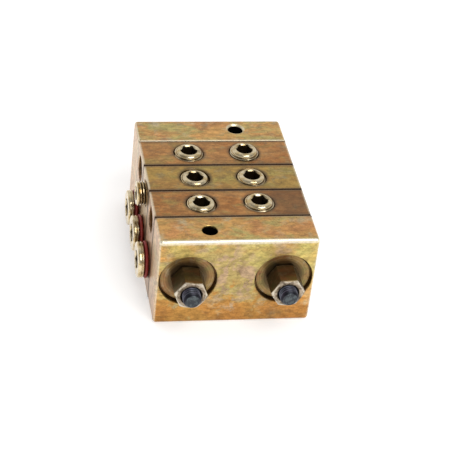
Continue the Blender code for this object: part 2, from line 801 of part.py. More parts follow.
def main():
    clear_scene()
    scene_root = bpy.context.scene.collection
    parts = make_collection("lubrication_divider_block", scene_root)
    cutters = make_collection("cutters", scene_root)
    finishes = {name: make_finish(name) for name in FINISHES}
    yellow = finishes["yellow_zinc_block"]
    brown = finishes["brown_zinc_section"]
    bright = finishes["bright_plug_steel"]

    make_front_end_block(parts, cutters, yellow)
    make_rear_inlet_block(parts, cutters, yellow)
    for number in range(1, SECTION_COUNT + 1):
        make_metering_section(number, parts, cutters, yellow if number in YELLOW_SECTIONS else brown)
        make_spool(number, parts, finishes["ground_spool_steel"])
        make_top_plugs(number, parts, cutters, bright)
        for side in SIDES:
            make_closure_plug(number, side, parts, cutters, bright)
            make_seal_washer(number, side, parts, finishes["red_seal"])
    make_side_plugs(parts, cutters, bright)
    for side in SIDES:
        make_stud(side, parts, finishes["dark_stud_steel"])
        make_flat_washer(side, parts, finishes["tan_washer_zinc"])
        make_nut(side, parts, cutters, finishes["olive_nut_steel"])
    make_o_rings(parts, finishes["black_rubber"])
    hide_cutters(cutters)


main()
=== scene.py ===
"""Looks of a progressive lubrication divider block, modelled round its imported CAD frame.

The row frame has its origin at the middle of the base. The front, with the nuts, is at -Y, the
inlet at +Y, left is -X, right is +X, and Z is up. Lengths are metres.
"""
import math

import bpy
from mathutils import Matrix, Vector


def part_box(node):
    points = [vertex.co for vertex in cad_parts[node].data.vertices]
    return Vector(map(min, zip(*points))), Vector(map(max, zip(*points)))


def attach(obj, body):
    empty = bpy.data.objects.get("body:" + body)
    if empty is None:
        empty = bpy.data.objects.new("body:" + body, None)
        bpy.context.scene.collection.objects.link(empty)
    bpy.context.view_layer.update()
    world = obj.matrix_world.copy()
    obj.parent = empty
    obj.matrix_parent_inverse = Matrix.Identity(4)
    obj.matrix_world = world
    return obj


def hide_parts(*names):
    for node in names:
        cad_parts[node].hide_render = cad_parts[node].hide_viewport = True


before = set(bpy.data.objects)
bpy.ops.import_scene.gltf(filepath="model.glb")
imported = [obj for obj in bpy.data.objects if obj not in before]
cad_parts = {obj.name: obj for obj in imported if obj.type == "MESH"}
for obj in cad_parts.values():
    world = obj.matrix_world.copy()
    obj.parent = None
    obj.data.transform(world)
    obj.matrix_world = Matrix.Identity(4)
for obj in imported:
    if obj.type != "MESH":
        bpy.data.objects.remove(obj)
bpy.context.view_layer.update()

bl_info = {
    "name": "Lubrication divider block",
    "version": (1, 0, 0),
    "blender": (4, 5, 0),
    "location": "View3D > Sidebar > Divider block",
    "description": "Models the blocks, plugs, nuts and studs of a lubrication divider round its CAD frame",
    "category": "Object",
}

BODY = "block_stack"
SIDES = {"left": -1, "right": 1}
SECTIONS = (1, 2, 3)
FACING = {
    "top": Matrix.Identity(4),
    "left": Matrix.Rotation(-math.pi / 2, 4, "Y"),
    "right": Matrix.Rotation(math.pi / 2, 4, "Y"),
    "front": Matrix.Rotation(math.pi / 2, 4, "X"),
    "rear": Matrix.Rotation(-math.pi / 2, 4, "X"),
}


def box_centre(node):
    low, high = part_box(node)
    return (low + high) / 2


# Places that come from the frame.
FRONT_LOW, FRONT_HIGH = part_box("front_end_block")
REAR_LOW, REAR_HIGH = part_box("rear_inlet_block")
SECTION_LOW, SECTION_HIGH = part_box("metering_section_2")
BLOCK_TOP = FRONT_HIGH.z
LEFT_FACE = SECTION_LOW.x
RIGHT_FACE = SECTION_HIGH.x
FACE_X = {"left": LEFT_FACE, "right": RIGHT_FACE}
STUD_CENTRE = box_centre("tie_stud_right")
PORT_CENTRE = box_centre("top_plug_right_2")
SPOOL_HEIGHT = box_centre("spool_2").z
SIDE_PORT_HEIGHT = box_centre("side_plug_left_2").z
GALLERY_CENTRE = box_centre("o_ring_gallery_joint_1")
SIGNAL_CENTRE = box_centre("o_ring_signal_right_joint_1")
SECTION_PITCH = 0.020
SECTION_Y = {number: (2 - number) * SECTION_PITCH for number in SECTIONS}

# Sizes that repeat the source of the CAD part.
STUD_HOLE_RADIUS = 0.0045
STUD_RADIUS = 0.004
STUD_THREAD_RADIUS = 0.0043
STUD_POINT = 0.001
RECESS_RADIUS = 0.0128
RECESS_DEPTH = 0.0038
MOUNT_HOLE_RADIUS = 0.0035
FRONT_MOUNT_HOLE = Vector((-0.0123, -0.040, 0.0))
REAR_MOUNT_HOLE = Vector((0.0123, 0.0403, 0.0))
NUT_ACROSS_FLATS = 0.013
NUT_LENGTH = 0.012
NUT_ROLL = {"left": math.radians(-7), "right": math.radians(2)}
SPOOL_BORE_RADIUS = 0.0038
CHAMBER_DEPTH = 0.0085
CLOSURE_PORT_RADIUS = 0.0063
CLOSURE_PORT_DEPTH = 0.0088
CLOSURE_SHANK_RADIUS = 0.006
CLOSURE_SHANK_LENGTH = 0.0085
CLOSURE_HEAD_RADIUS = 0.0082
CLOSURE_HEAD_BASE = 0.0021
CLOSURE_HEAD_TOP = 0.0049
CLOSURE_SOCKET_ACROSS_FLATS = 0.008
CLOSURE_SOCKET_DEPTH = 0.006
SEAL_INNER_RADIUS = 0.0063
SEAL_OUTER_RADIUS = 0.0085
SEAL_BASE = 0.0003
SEAL_THICKNESS = 0.0015
TOP_PORT_RADIUS = 0.0069
TOP_PORT_DEPTH = 0.0135
TOP_PLUG_RADIUS = 0.0066
TOP_PLUG_LENGTH = 0.0085
TOP_PLUG_SOCKET_ACROSS_FLATS = 0.007
TOP_PLUG_SOCKET_DEPTH = 0.005
SIDE_PORT_RADIUS = 0.0059
SIDE_PORT_DEPTH = 0.011
SIDE_PLUG_RADIUS = 0.0056
SIDE_PLUG_LENGTH = 0.009
SIDE_PLUG_STAND = 0.0042
SIDE_PLUG_SOCKET_ACROSS_FLATS = 0.006
SIDE_PLUG_SOCKET_DEPTH = 0.0055
PLUG_TAPER = 1 / 16
INLET_PORT_RADIUS = 0.0066
INLET_PORT_DEPTH = 0.012
GALLERY_RADIUS = 0.0021
OUTLET_DRILL_RADIUS = 0.002
CROSS_DRILL_HEIGHT = 0.033
SIGNAL_DRILL_RADIUS = 0.0015
CROSSOVER_DEPTH = 0.007
O_RING_SEAT_RADIUS = 0.0041
O_RING_SEAT_DEPTH = 0.0017

TOP_PLUG_RIM = 0.0012
TOP_PLUG_THREAD_DEPTH = 0.0008
SIDE_PLUG_THREAD_DEPTH = 0.0007
STUD_THREAD_DEPTH = 0.00072
NUT_THREAD_DEPTH = 0.0003
NUT_ROUNDING = 0.00012
HEAD_ROUNDING = 0.0008
HEAD_GROOVE = 0.00022
RIM_ROUNDING = 0.0007
SEAL_ROUNDING = 0.0006
RECESS_MOUTH = 0.00025
TOP_PORT_MOUTH = 0.0003
SIDE_PORT_MOUTH = 0.0005
INLET_MOUTH = 0.0007

# The rim on each top plug, from its flat over the rounding to its foot.
RIM_FLAT_RADIUS = 0.0044
RIM_CURVE_CENTRE = 0.0045
RIM_CURVE = 0.0015
RIM_RADIUS = 0.0060
RIM_SIDE = 0.00155
RIM_FOOT_RADIUS = 0.0053
RIM_FOOT = 0.0021

# Small edges of the turned pieces.
FINE_EDGE = 0.0001
SMALL_EDGE = 0.0003
TIP_EDGE = 0.0007
HEAD_FLAT_EDGE = 0.0009
HEAD_GROOVE_HEIGHT = 0.0011
SEAL_FLAT_EDGE = 0.0008
NUT_FACE_EDGE = 0.00035
STUD_SPARE = 0.0002
FLOOR_GAP = 0.0001

# Modelling values that aren't sizes of the real piece.
SPARE = 0.002
DRILL_POINT = 0.0015
CHAMFER = 0.0006
WELD = 0.000001
SMOOTH_ANGLE = math.radians(32)
FINE_STEPS = 64
BORE_STEPS = 40
DRILL_STEPS = 20
THREAD_STEPS = 40
THREAD_FLANK = 0.42
THREAD_HALF_DEPTH = 0.0004
FULL_TURN = 2 * math.pi

# A pitch longer than the part, and a joint face far past all of it.
ONE_ROW = 1.0
NO_JOINT = 1.0

# Scale, detail, roughness and distortion of each noise.
NOISES = {
    "cloud": (90.0, 5.0, 0.62, 0.35),
    "patches": (120.0, 5.0, 0.62, 0.4),
    "spots": (170.0, 3.0, 0.6, 0.4),
    "broad streaks": (1.0, 5.0, 0.65, 0.0),
    "fine streaks": (1.0, 3.0, 0.6, 0.0),
    "mottle": (460.0, 8.0, 0.75, 0.0),
    "turning wobble": (500.0, 2.0, 0.55, 0.0),
    "grime specks": (1100.0, 4.0, 0.7, 0.0),
    "grime clouds": (210.0, 4.0, 0.65, 0.0),
    "scratch lines": (1.0, 2.0, 0.5, 0.0),
    "scratched areas": (60.0, 2.0, 0.55, 0.0),
    "glow": (55.0, 3.0, 0.5, 0.0),
    "smudges": (110.0, 5.0, 0.65, 0.0),
    "plug tarnish": (330.0, 6.0, 0.7, 0.0),
    "plug stains": (190.0, 5.0, 0.7, 0.0),
    "nut chips": (520.0, 7.0, 0.75, 0.0),
    "seal fibre": (700.0, 4.0, 0.7, 0.0),
    "spool lines": (1.0, 2.0, 0.55, 0.0),
    "rubber skin": (1500.0, 3.0, 0.55, 0.0),
    "floor speckle": (3.0, 2.0, 0.55, 0.0),
}

# Where each mask begins and where it is full, and its two levels where they aren't 0 and 1.
MASKS = {
    "rose": (0.54, 0.38),
    "green": (0.48, 0.66),
    "grey": (0.50, 0.80),
    "streak shade": (0.34, 0.66, 0.84, 1.13),
    "mottle shade": (0.36, 0.64, 0.72, 1.22),
    "grime specks": (0.50, 0.72),
    "grime clouds": (0.42, 0.68),
    "scratch lines": (0.66, 0.72),
    "scratched areas": (0.42, 0.60),
    "front face": (0.003, 0.001),
    "pale heart": (0.070, 0.044),
    "blush": (0.46, 0.60),
    "glow": (0.50, 0.62),
    "edge wear and highlight": (0.0011, 0.0003),
    "brow height": (-0.0024, -0.0006),
    "brow depth": (0.0016, 0.0008),
    "joint stain": (0.0026, 0.0006),
    "painted joint seam shade": (0.0009, 0.0003),
    "port ring": (0.0088, 0.0069),
    "within port": (0.0006, 0.0002),
    "port shadow": (-0.0004, -0.0024),
    "hole ring highlight": (0.0047, 0.0041),
    "within hole": (0.0003, 0.0),
    "below top": (-0.0003, -0.0012),
    "within recess": (0.0002, -0.0001),
    "recess depth": (0.0001, 0.0012),
    "low band": (0.041, 0.033),
    "left face sheen": (0.0012, 0.0002),
    "foot shade": (0.0, 0.012, 0.78, 1.0),
    "smudges": (0.52, 0.72),
    "dim side": (0.004, 0.028),
    "plug tarnish": (0.46, 0.60),
    "plug stains": (0.50, 0.66),
    "thread groove": (-0.00005, -0.0004),
    "below rim": (0.0012, 0.0015),
    "within socket": (0.0001, -0.0001),
    "below mouth": (0.0002, 0.0012),
    "nut end face": (0.0011, 0.0004),
    "nut chips": (0.40, 0.60),
    "nut rim": (0.0058, 0.0066),
    "rim highlight patches": (0.40, 0.56),
    "nut mouth": (0.0053, 0.0046),
    "shade round nut": (0.0104, 0.0078),
    "stud crest highlight": (-0.0004, -0.00005),
    "stud root shade": (-0.0003, -0.0006),
    "behind stud end": (0.0, 0.0012),
    "stud cone": (0.0003, -0.0001),
    "rubbed end": (0.42, 0.60, 0.35, 1.0),
    "stud end": (0.00025, 0.0),
    "seal fibre": (0.35, 0.70),
    "room depth": (-0.2, 0.6),
    "room height": (0.35, 0.10),
}

# Colours that the finishes lay over each other, as linear RGBA.
TONES = {
    "blush": (0.46, 0.30, 0.20, 1.0),
    "glow": (0.56, 0.47, 0.14, 1.0),
    "painted left sheen": (0.60, 0.47, 0.36, 1.0),
    "smudge": (0.15, 0.085, 0.04, 1.0),
    "dim side": (0.10, 0.045, 0.018, 1.0),
    "scratch": (0.07, 0.045, 0.03, 1.0),
    "block grime": (0.08, 0.045, 0.025, 1.0),
    "worn edge and highlight": (0.86, 0.78, 0.58, 1.0),
    "brow highlight": (0.92, 0.86, 0.70, 1.0),
    "joint stain": (0.15, 0.07, 0.016, 1.0),
    "painted joint seam shade": (0.03, 0.011, 0.001, 1.0),
    "port ring": (0.06, 0.04, 0.025, 1.0),
    "port inside": (0.03, 0.017, 0.008, 1.0),
    "hole ring highlight": (0.80, 0.72, 0.50, 1.0),
    "hole shade": (0.012, 0.008, 0.005, 1.0),
    "recess bore shade": (0.10, 0.06, 0.028, 1.0),
    "plug tarnish": (0.52, 0.38, 0.18, 1.0),
    "plug stain": (0.22, 0.16, 0.08, 1.0),
    "plug groove grime and shade": (0.10, 0.065, 0.035, 1.0),
    "plug socket shade": (0.05, 0.03, 0.013, 1.0),
    "plug grime": (0.14, 0.10, 0.06, 1.0),
    "nut face dark": (0.10, 0.07, 0.045, 1.0),
    "nut face pale": (0.44, 0.36, 0.27, 1.0),
    "nut rim highlight": (0.74, 0.67, 0.54, 1.0),
    "nut mouth": (0.03, 0.022, 0.015, 1.0),
    "nut grime": (0.08, 0.05, 0.03, 1.0),
    "shade round nut": (0.05, 0.032, 0.016, 1.0),
    "washer grime": (0.07, 0.04, 0.02, 1.0),
    "stud crest highlight": (0.10, 0.10, 0.125, 1.0),
    "stud root shade": (0.006, 0.005, 0.007, 1.0),
    "stud grime": (0.03, 0.02, 0.02, 1.0),
    "stud cone": (0.012, 0.012, 0.016, 1.0),
    "stud end": (0.085, 0.10, 0.105, 1.0),
    "seal fibre": (0.34, 0.03, 0.018, 1.0),
    "seal grime": (0.05, 0.02, 0.015, 1.0),
    "spool dark": (0.52, 0.53, 0.54, 1.0),
    "spool bright": (0.70, 0.70, 0.69, 1.0),
    "rubber dark": (0.014, 0.014, 0.015, 1.0),
    "rubber bright": (0.035, 0.034, 0.033, 1.0),
    "floor dark": (0.80, 0.79, 0.78, 1.0),
    "floor bright": (0.82, 0.81, 0.80, 1.0),
}
SECTION_TONES = {
    "dark": {"green": (0.38, 0.24, 0.068), "rose": (0.38, 0.158, 0.04), "grey": (0.32, 0.22, 0.10)},
    "olive": {
        "main": (0.40, 0.245, 0.058),
        "green": (0.37, 0.27, 0.07),
        "rose": (0.40, 0.215, 0.056),
        "grey": (0.32, 0.25, 0.115),
    },
}
NUT_TONES = {"green": (0.10, 0.09, 0.035), "rose": (0.15, 0.08, 0.04), "grey": (0.20, 0.16, 0.10)}
WASHER_TONES = {
    "main": (0.29, 0.185, 0.07),
    "green": (0.21, 0.165, 0.06),
    "rose": (0.25, 0.13, 0.055),
    "grey": (0.34, 0.27, 0.17),
}
STUD_TONES = {"green": (0.03, 0.045, 0.05), "rose": (0.06, 0.03, 0.06), "grey": (0.10, 0.11, 0.13)}

# The solved camera.
CAMERA_PLACE = Vector((-0.12557, -0.54381, 0.41922))
CAMERA_YAW = -0.233
CAMERA_PITCH = -0.623
CAMERA_ROLL = -0.122
CAMERA_LENS = 119.03

# Strengths of the light that the room and the floor give.
ROOM_DIM = 0.40
ROOM_BRIGHT = 0.95
FLOOR_GLOW = 0.42
FLOOR_GLOW_IN_METAL = 0.60


class DividerSizes(bpy.types.PropertyGroup):
    """Sizes of the details that the looks add."""

    end_rounding: bpy.props.FloatProperty(
        name="End block rounding",
        description="Radius of the outer edges of the two end blocks",
        default=0.0015,
        min=0.0001,
        max=0.002,
        precision=5,
        unit="LENGTH",
    )
    section_rounding: bpy.props.FloatProperty(
        name="Section rounding",
        description="Radius of the edges of the sections and of every joint face",
        default=0.0003,
        min=0.0001,
        max=0.001,
        precision=5,
        unit="LENGTH",
    )
    plug_pitch: bpy.props.FloatProperty(
        name="Taper plug pitch",
        description="Pitch of the thread of the top plugs and of the inlet port",
        default=0.001337,
        precision=6,
        unit="LENGTH",
    )
    side_pitch: bpy.props.FloatProperty(
        name="Side port pitch",
        description="Pitch of the thread of the side plug and of the side ports",
        default=0.00125,
        precision=6,
        unit="LENGTH",
    )
    stud_pitch: bpy.props.FloatProperty(
        name="Stud pitch",
        description="Pitch of the thread of the studs and nuts",
        default=0.00125,
        precision=6,
        unit="LENGTH",
    )


class DividerColours(bpy.types.PropertyGroup):
    """Colours of the chromated steel and of the small parts."""

    gold: bpy.props.FloatVectorProperty(
        name="Gold",
        description="Main colour of the yellow chromate",
        subtype="COLOR",
        default=(0.58, 0.315, 0.095),
    )
    green: bpy.props.FloatVectorProperty(
        name="Green",
        description="Greenish patches of the chromate",
        subtype="COLOR",
        default=(0.47, 0.38, 0.13),
    )
    rose: bpy.props.FloatVectorProperty(
        name="Rose",
        description="Reddish patches of the chromate",
        subtype="COLOR",
        default=(0.55, 0.265, 0.09),
    )
    grey: bpy.props.FloatVectorProperty(
        name="Grey",
        description="Pale grey patches of the chromate",
        subtype="COLOR",
        default=(0.50, 0.40, 0.23),
    )
    orange: bpy.props.FloatVectorProperty(
        name="Orange",
        description="Deep orange low on the blocks",
        subtype="COLOR",
        default=(0.50, 0.215, 0.04),
    )
    brown: bpy.props.FloatVectorProperty(
        name="Brown",
        description="Main colour of the darker sections",
        subtype="COLOR",
        default=(0.45, 0.215, 0.065),
    )
    citron: bpy.props.FloatVectorProperty(
        name="Citron",
        description="Pale yellow heart of the front face",
        subtype="COLOR",
        default=(0.40, 0.325, 0.12),
    )
    plug_steel: bpy.props.FloatVectorProperty(
        name="Plug steel",
        description="Bright steel of the plugs",
        subtype="COLOR",
        default=(0.64, 0.54, 0.36),
    )
    olive: bpy.props.FloatVectorProperty(
        name="Olive",
        description="Chromate of the nuts",
        subtype="COLOR",
        default=(0.11, 0.08, 0.035),
    )
    stud_blue: bpy.props.FloatVectorProperty(
        name="Stud blue",
        description="Blued steel of the studs",
        subtype="COLOR",
        default=(0.025, 0.027, 0.042),
    )
    seal_red: bpy.props.FloatVectorProperty(
        name="Seal red",
        description="Fibre of the seal washers",
        subtype="COLOR",
        default=(0.25, 0.012, 0.008),
    )


# Selection and placing.


def select_only(item):
    bpy.ops.object.select_all(action="DESELECT")
    item.select_set(True)
    bpy.context.view_layer.objects.active = item


def settle(item, place=(0, 0, 0), facing="top", roll=0.0):
    """Turn a piece made at the origin, move it to its place and apply both to its mesh."""
    select_only(item)
    item.matrix_world = Matrix.Translation(place) @ FACING[facing] @ Matrix.Rotation(roll, 4, "Z")
    bpy.ops.object.transform_apply(location=True, rotation=True, scale=True)


def copy_piece(item, name):
    select_only(item)
    bpy.ops.object.duplicate(linked=False)
    copy = bpy.context.object
    copy.name = name
    copy.data.name = name
    return copy


def discard(items):
    for item in items:
        bpy.data.objects.remove(item, do_unlink=True)


def hand_over(item, node, finish):
    """Give a finished piece its material and its body, and hide the CAD node that it stands for."""
    item.data.materials.clear()
    item.data.materials.append(finish)
    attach(item, BODY)
    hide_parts(node)


# Modelling steps.


def name_new(name):
    """Name the piece that an operator has just added, and its mesh."""
    item = bpy.context.object
    item.name = name
    item.data.name = name
    return item


def add_box(name, low, high):
    bpy.ops.object.select_all(action="DESELECT")
    bpy.ops.mesh.primitive_cube_add(size=1)
    item = name_new(name)
    item.scale = high - low
    item.location = (low + high) / 2
    bpy.ops.object.transform_apply(location=True, rotation=True, scale=True)
    return item


def round_box(item, radius, small_radius, joint_side):
    """Round a box. The edges of its joint face, towards -Y or +Y, get the small radius."""
    joint_y = max(vertex.co.y * joint_side for vertex in item.data.vertices)
    weights = item.data.attributes.new("bevel_weight_edge", "FLOAT", "EDGE")
    for edge in item.data.edges:
        ends = [item.data.vertices[index].co.y * joint_side for index in edge.vertices]
        on_joint = min(ends) > joint_y - WELD
        weights.data[edge.index].value = small_radius / radius if on_joint else 1.0
    select_only(item)
    bevel = item.modifiers.new("rounding", "BEVEL")
    bevel.width = radius
    bevel.segments = 4
    bevel.limit_method = "WEIGHT"
    bpy.ops.object.modifier_apply(modifier=bevel.name)


def round_all(item, radius, segments=2):
    """Round every sharp edge of a piece."""
    select_only(item)
    bevel = item.modifiers.new("rounding", "BEVEL")
    bevel.width = radius
    bevel.segments = segments
    bevel.limit_method = "ANGLE"
    bevel.angle_limit = SMOOTH_ANGLE
    bpy.ops.object.modifier_apply(modifier=bevel.name)


def draw_profile(name, points):
    """One vertex, extruded from point to point. The new piece is left in edit mode."""
    bpy.ops.object.select_all(action="DESELECT")
    bpy.ops.mesh.primitive_plane_add(size=SPARE)
    item = name_new(name)
    bpy.ops.object.mode_set(mode="EDIT")
    bpy.ops.mesh.select_all(action="SELECT")
    bpy.ops.mesh.merge(type="CENTER")
    bpy.ops.transform.translate(value=points[0])
    for first, second in zip(points, points[1:]):
        bpy.ops.mesh.extrude_region_move(TRANSFORM_OT_translate={"value": second - first})
    return item


def add_turned(name, profile, steps=FINE_STEPS):
    """Turn (radius, height) points about Z."""
    item = draw_profile(name, [Vector((radius, 0, height)) for radius, height in profile])
    bpy.ops.mesh.select_all(action="SELECT")
    bpy.ops.mesh.spin(steps=steps, angle=FULL_TURN, center=(0, 0, 0), axis=(0, 0, 1))
    bpy.ops.mesh.select_all(action="SELECT")
    bpy.ops.mesh.remove_doubles(threshold=WELD)
    bpy.ops.mesh.normals_make_consistent(inside=False)
    bpy.ops.object.mode_set(mode="OBJECT")
    return item


def add_prism(name, across_flats, low, high):
    """A hexagonal prism along Z with a flat at +Y."""
    corner = across_flats / 2 / math.cos(math.pi / 6)
    bpy.ops.object.select_all(action="DESELECT")
    bpy.ops.mesh.primitive_cylinder_add(vertices=6, radius=corner, depth=high - low)
    item = name_new(name)
    settle(item, (0, 0, (low + high) / 2), roll=math.pi / 6)
    return item


def add_drill(name, start, end, radius, steps=DRILL_STEPS):
    """A straight drill between two points, as a cutter."""
    start = Vector(start)
    end = Vector(end)
    path = end - start
    turn = path.to_track_quat("Z", "Y").to_matrix().to_4x4()
    bpy.ops.object.select_all(action="DESELECT")
    bpy.ops.mesh.primitive_cylinder_add(vertices=steps, radius=radius, depth=path.length)
    item = name_new(name)
    item.matrix_world = Matrix.Translation((start + end) / 2) @ turn
    bpy.ops.object.transform_apply(location=True, rotation=True, scale=True)
    return item


def add_thread(name, crest, root, pitch, low, high):
    """A closed right-hand threaded rod along Z that reaches past both heights."""
    start = low - 1.5 * pitch
    turn = ((root, 0), (crest, THREAD_FLANK), (crest, 1 - THREAD_FLANK), (root, 1))
    profile = [Vector((radius, 0, start + part * pitch)) for radius, part in turn]
    item = draw_profile(name, profile)
    bpy.ops.object.mode_set(mode="OBJECT")
    screw = item.modifiers.new("thread", "SCREW")
    screw.angle = FULL_TURN
    screw.screw_offset = pitch
    screw.iterations = math.ceil((high - low) / pitch) + 2
    screw.steps = THREAD_STEPS
    screw.render_steps = THREAD_STEPS
    screw.use_merge_vertices = True
    screw.merge_threshold = WELD
    bpy.ops.object.modifier_apply(modifier=screw.name)
    bpy.ops.object.mode_set(mode="EDIT")
    bpy.ops.mesh.select_mode(type="EDGE")
    bpy.ops.mesh.select_all(action="SELECT")
    bpy.ops.mesh.remove_doubles(threshold=WELD)
    bpy.ops.mesh.select_all(action="DESELECT")
    bpy.ops.mesh.select_non_manifold(use_multi_face=False, use_non_contiguous=False, use_verts=False)
    bpy.ops.mesh.extrude_region_move()
    bpy.ops.mesh.edge_collapse()
    bpy.ops.mesh.select_mode(type="VERT")
    bpy.ops.mesh.select_all(action="SELECT")
    bpy.ops.mesh.normals_make_consistent(inside=False)
    bpy.ops.object.mode_set(mode="OBJECT")
    return item


def weld(item):
    """Merge the doubles and slivers that a cut leaves, so that the next one is sound."""
    select_only(item)
    bpy.ops.object.mode_set(mode="EDIT")
    bpy.ops.mesh.select_all(action="SELECT")
    bpy.ops.mesh.remove_doubles(threshold=WELD)
    bpy.ops.mesh.dissolve_degenerate(threshold=WELD)
    bpy.ops.object.mode_set(mode="OBJECT")
    if not item.data.polygons:
        raise RuntimeError(f"{item.name} was lost in a cut")


def cut(item, cutters):
    """Take all cutters out of a piece at once, and delete them."""
    tools = bpy.data.collections.new("tools")
    bpy.context.scene.collection.children.link(tools)
    for cutter in cutters:
        tools.objects.link(cutter)
    select_only(item)
    boolean = item.modifiers.new("cut", "BOOLEAN")
    boolean.operation = "DIFFERENCE"
    boolean.solver = "EXACT"
    boolean.operand_type = "COLLECTION"
    boolean.collection = tools
    bpy.ops.object.modifier_apply(modifier=boolean.name)
    discard(cutters)
    bpy.data.collections.remove(tools)
    weld(item)


def combine(item, other, operation):
    """Join a piece with another solid, or keep only what both share, and delete the other."""
    select_only(item)
    boolean = item.modifiers.new("combine", "BOOLEAN")
    boolean.operation = operation
    boolean.solver = "EXACT"
    boolean.object = other
    bpy.ops.object.modifier_apply(modifier=boolean.name)
    discard([other])
    weld(item)


def finish_shape(item):
    """Shade curved faces smooth and keep flat faces flat."""
    select_only(item)
    bpy.ops.object.shade_smooth_by_angle(angle=SMOOTH_ANGLE)
    weighted = item.modifiers.new("flat faces", "WEIGHTED_NORMAL")
    weighted.keep_sharp = True
    bpy.ops.object.modifier_apply(modifier=weighted.name)


def mark_depth(item, top):
    """Keep on each vertex how deep it lies below the top of its piece, for the finish to read."""
    depths = item.data.attributes.new("depth_below_face", "FLOAT", "POINT")
    depths.data.foreach_set("value", [top - vertex.co.z for vertex in item.data.vertices])


def arc(centre_radius, centre_height, radius, start, end, count=5):
    """Profile points along an arc, its angles in degrees from outwards (0) to up (90)."""
    points = []
    for index in range(count):
        angle = math.radians(start + (end - start) * index / (count - 1))
        points.append(
            (centre_radius + radius * math.cos(angle), centre_height + radius * math.sin(angle))
        )
    return points


def hole_profile(radius, depth, mouth, point=DRILL_POINT):
    """Cutter profile of a blind hole: a chamfer at its mouth, at height 0, and a drill point."""
    return [
        (0, SPARE),
        (radius + mouth + SPARE, SPARE),
        (radius + mouth, 0),
        (radius, -mouth),
        (radius, -depth),
        (0, -depth - point),
    ]


def through_profile(radius, low, high, low_mouth, high_mouth):
    """Cutter profile of a through hole with a chamfer at each mouth."""
    return [
        (0, high + SPARE),
        (radius + high_mouth + SPARE, high + SPARE),
        (radius + high_mouth, high),
        (radius, high - high_mouth),
        (radius, low + low_mouth),
        (radius + low_mouth, low),
        (radius + low_mouth + SPARE, low - SPARE),
        (0, low - SPARE),
    ]


def threaded_hole(name, radius, pitch, depth, mouth, place, facing):
    """Cutters of a tapped blind hole: the drill with its mouth, and the thread."""
    drill = add_turned(f"{name}_drill", hole_profile(radius, depth, mouth), BORE_STEPS)
    crest = radius + THREAD_HALF_DEPTH
    root = radius - THREAD_HALF_DEPTH
    thread = add_thread(f"{name}_thread", crest, root, pitch, -depth + 3 * pitch, 0)
    for cutter in (drill, thread):
        settle(cutter, place, facing)
    return [drill, thread]


def place_at_bores(pattern, piece, node, finish):
    """Copy a pattern to both ends of the three spool bores, and delete it."""
    for number in SECTIONS:
        for side in SIDES:
            copy = copy_piece(pattern, f"{piece}_{side}_{number}")
            settle(copy, (FACE_X[side], SECTION_Y[number], SPOOL_HEIGHT), side)
            hand_over(copy, f"{node}_{side}_{number}", finish)
    discard([pattern])


def place_at_studs(pattern, piece, node, y, finish):
    """Copy a pattern to both studs, and delete it."""
    for side, sign in SIDES.items():
        copy = copy_piece(pattern, f"{piece}_{side}")
        settle(copy, (sign * STUD_CENTRE.x, y, STUD_CENTRE.z), "front")
        hand_over(copy, f"{node}_{side}", finish)
    discard([pattern])


# Shader building.


def feed(tree, socket, value):
    if isinstance(value, bpy.types.NodeSocket):
        tree.links.new(value, socket)
    else:
        socket.default_value = value


def math_of(tree, operation, first, second=0.0, third=0.0, clamp=False):
    node = tree.nodes.new("ShaderNodeMath")
    node.operation = operation
    node.use_clamp = clamp
    feed(tree, node.inputs[0], first)
    feed(tree, node.inputs[1], second)
    feed(tree, node.inputs[2], third)
    return node.outputs[0]


def times(tree, *factors):
    """The product of masks and numbers."""
    product = factors[0]
    for factor in factors[1:]:
        product = math_of(tree, "MULTIPLY", product, factor)
    return product


def plus(tree, first, second):
    return math_of(tree, "ADD", first, second)


def vector_of(tree, operation, first, second=(0, 0, 0)):
    node = tree.nodes.new("ShaderNodeVectorMath")
    node.operation = operation
    feed(tree, node.inputs[0], first)
    feed(tree, node.inputs[1], second)
    return node.outputs["Value"] if operation == "LENGTH" else node.outputs["Vector"]


def stretched(tree, vector, factors):
    return vector_of(tree, "MULTIPLY", vector, factors)


def moved(tree, vector, offset):
    return vector_of(tree, "ADD", vector, offset)


def split(tree, vector):
    node = tree.nodes.new("ShaderNodeSeparateXYZ")
    feed(tree, node.inputs[0], vector)
    return node.outputs[0], node.outputs[1], node.outputs[2]


def join(tree, x, y, z):
    node = tree.nodes.new("ShaderNodeCombineXYZ")
    for socket, value in zip(node.inputs, (x, y, z)):
        feed(tree, socket, value)
    return node.outputs[0]


def noise_of(tree, vector, name):
    node = tree.nodes.new("ShaderNodeTexNoise")
    feed(tree, node.inputs["Vector"], vector)
    for label, value in zip(("Scale", "Detail", "Roughness", "Distortion"), NOISES[name]):
        node.inputs[label].default_value = value
    return node.outputs["Fac"]


def mask_of(tree, value, name, base=0.0):
    """A smooth step of a value between the two ends of a named mask, measured from the base."""
    node = tree.nodes.new("ShaderNodeMapRange")
    node.interpolation_type = "SMOOTHSTEP"
    feed(tree, node.inputs["Value"], value)
    begin, full, *levels = MASKS[name]
    node.inputs["From Min"].default_value = base + begin
    node.inputs["From Max"].default_value = base + full
    node.inputs["To Min"].default_value, node.inputs["To Max"].default_value = levels or (0.0, 1.0)
    return node.outputs["Result"]


def mix_of(tree, factor, first, second, blend="MIX"):
    node = tree.nodes.new("ShaderNodeMix")
    node.data_type = "RGBA"
    node.blend_type = blend
    node.clamp_factor = True
    feed(tree, node.inputs[0], factor)
    feed(tree, node.inputs[6], first)
    feed(tree, node.inputs[7], second)
    return node.outputs[2]


def layer(tree, colour, mask, tone, strength=1.0):
    """Lay a tone over the colour where the mask says, at most as strongly as given."""
    if strength != 1.0:
        mask = times(tree, mask, strength)
    return mix_of(tree, mask, colour, tone)


def shade_by(tree, colour, grey):
    """Multiply the colour by a brightness."""
    return mix_of(tree, 1.0, colour, join(tree, grey, grey, grey), "MULTIPLY")


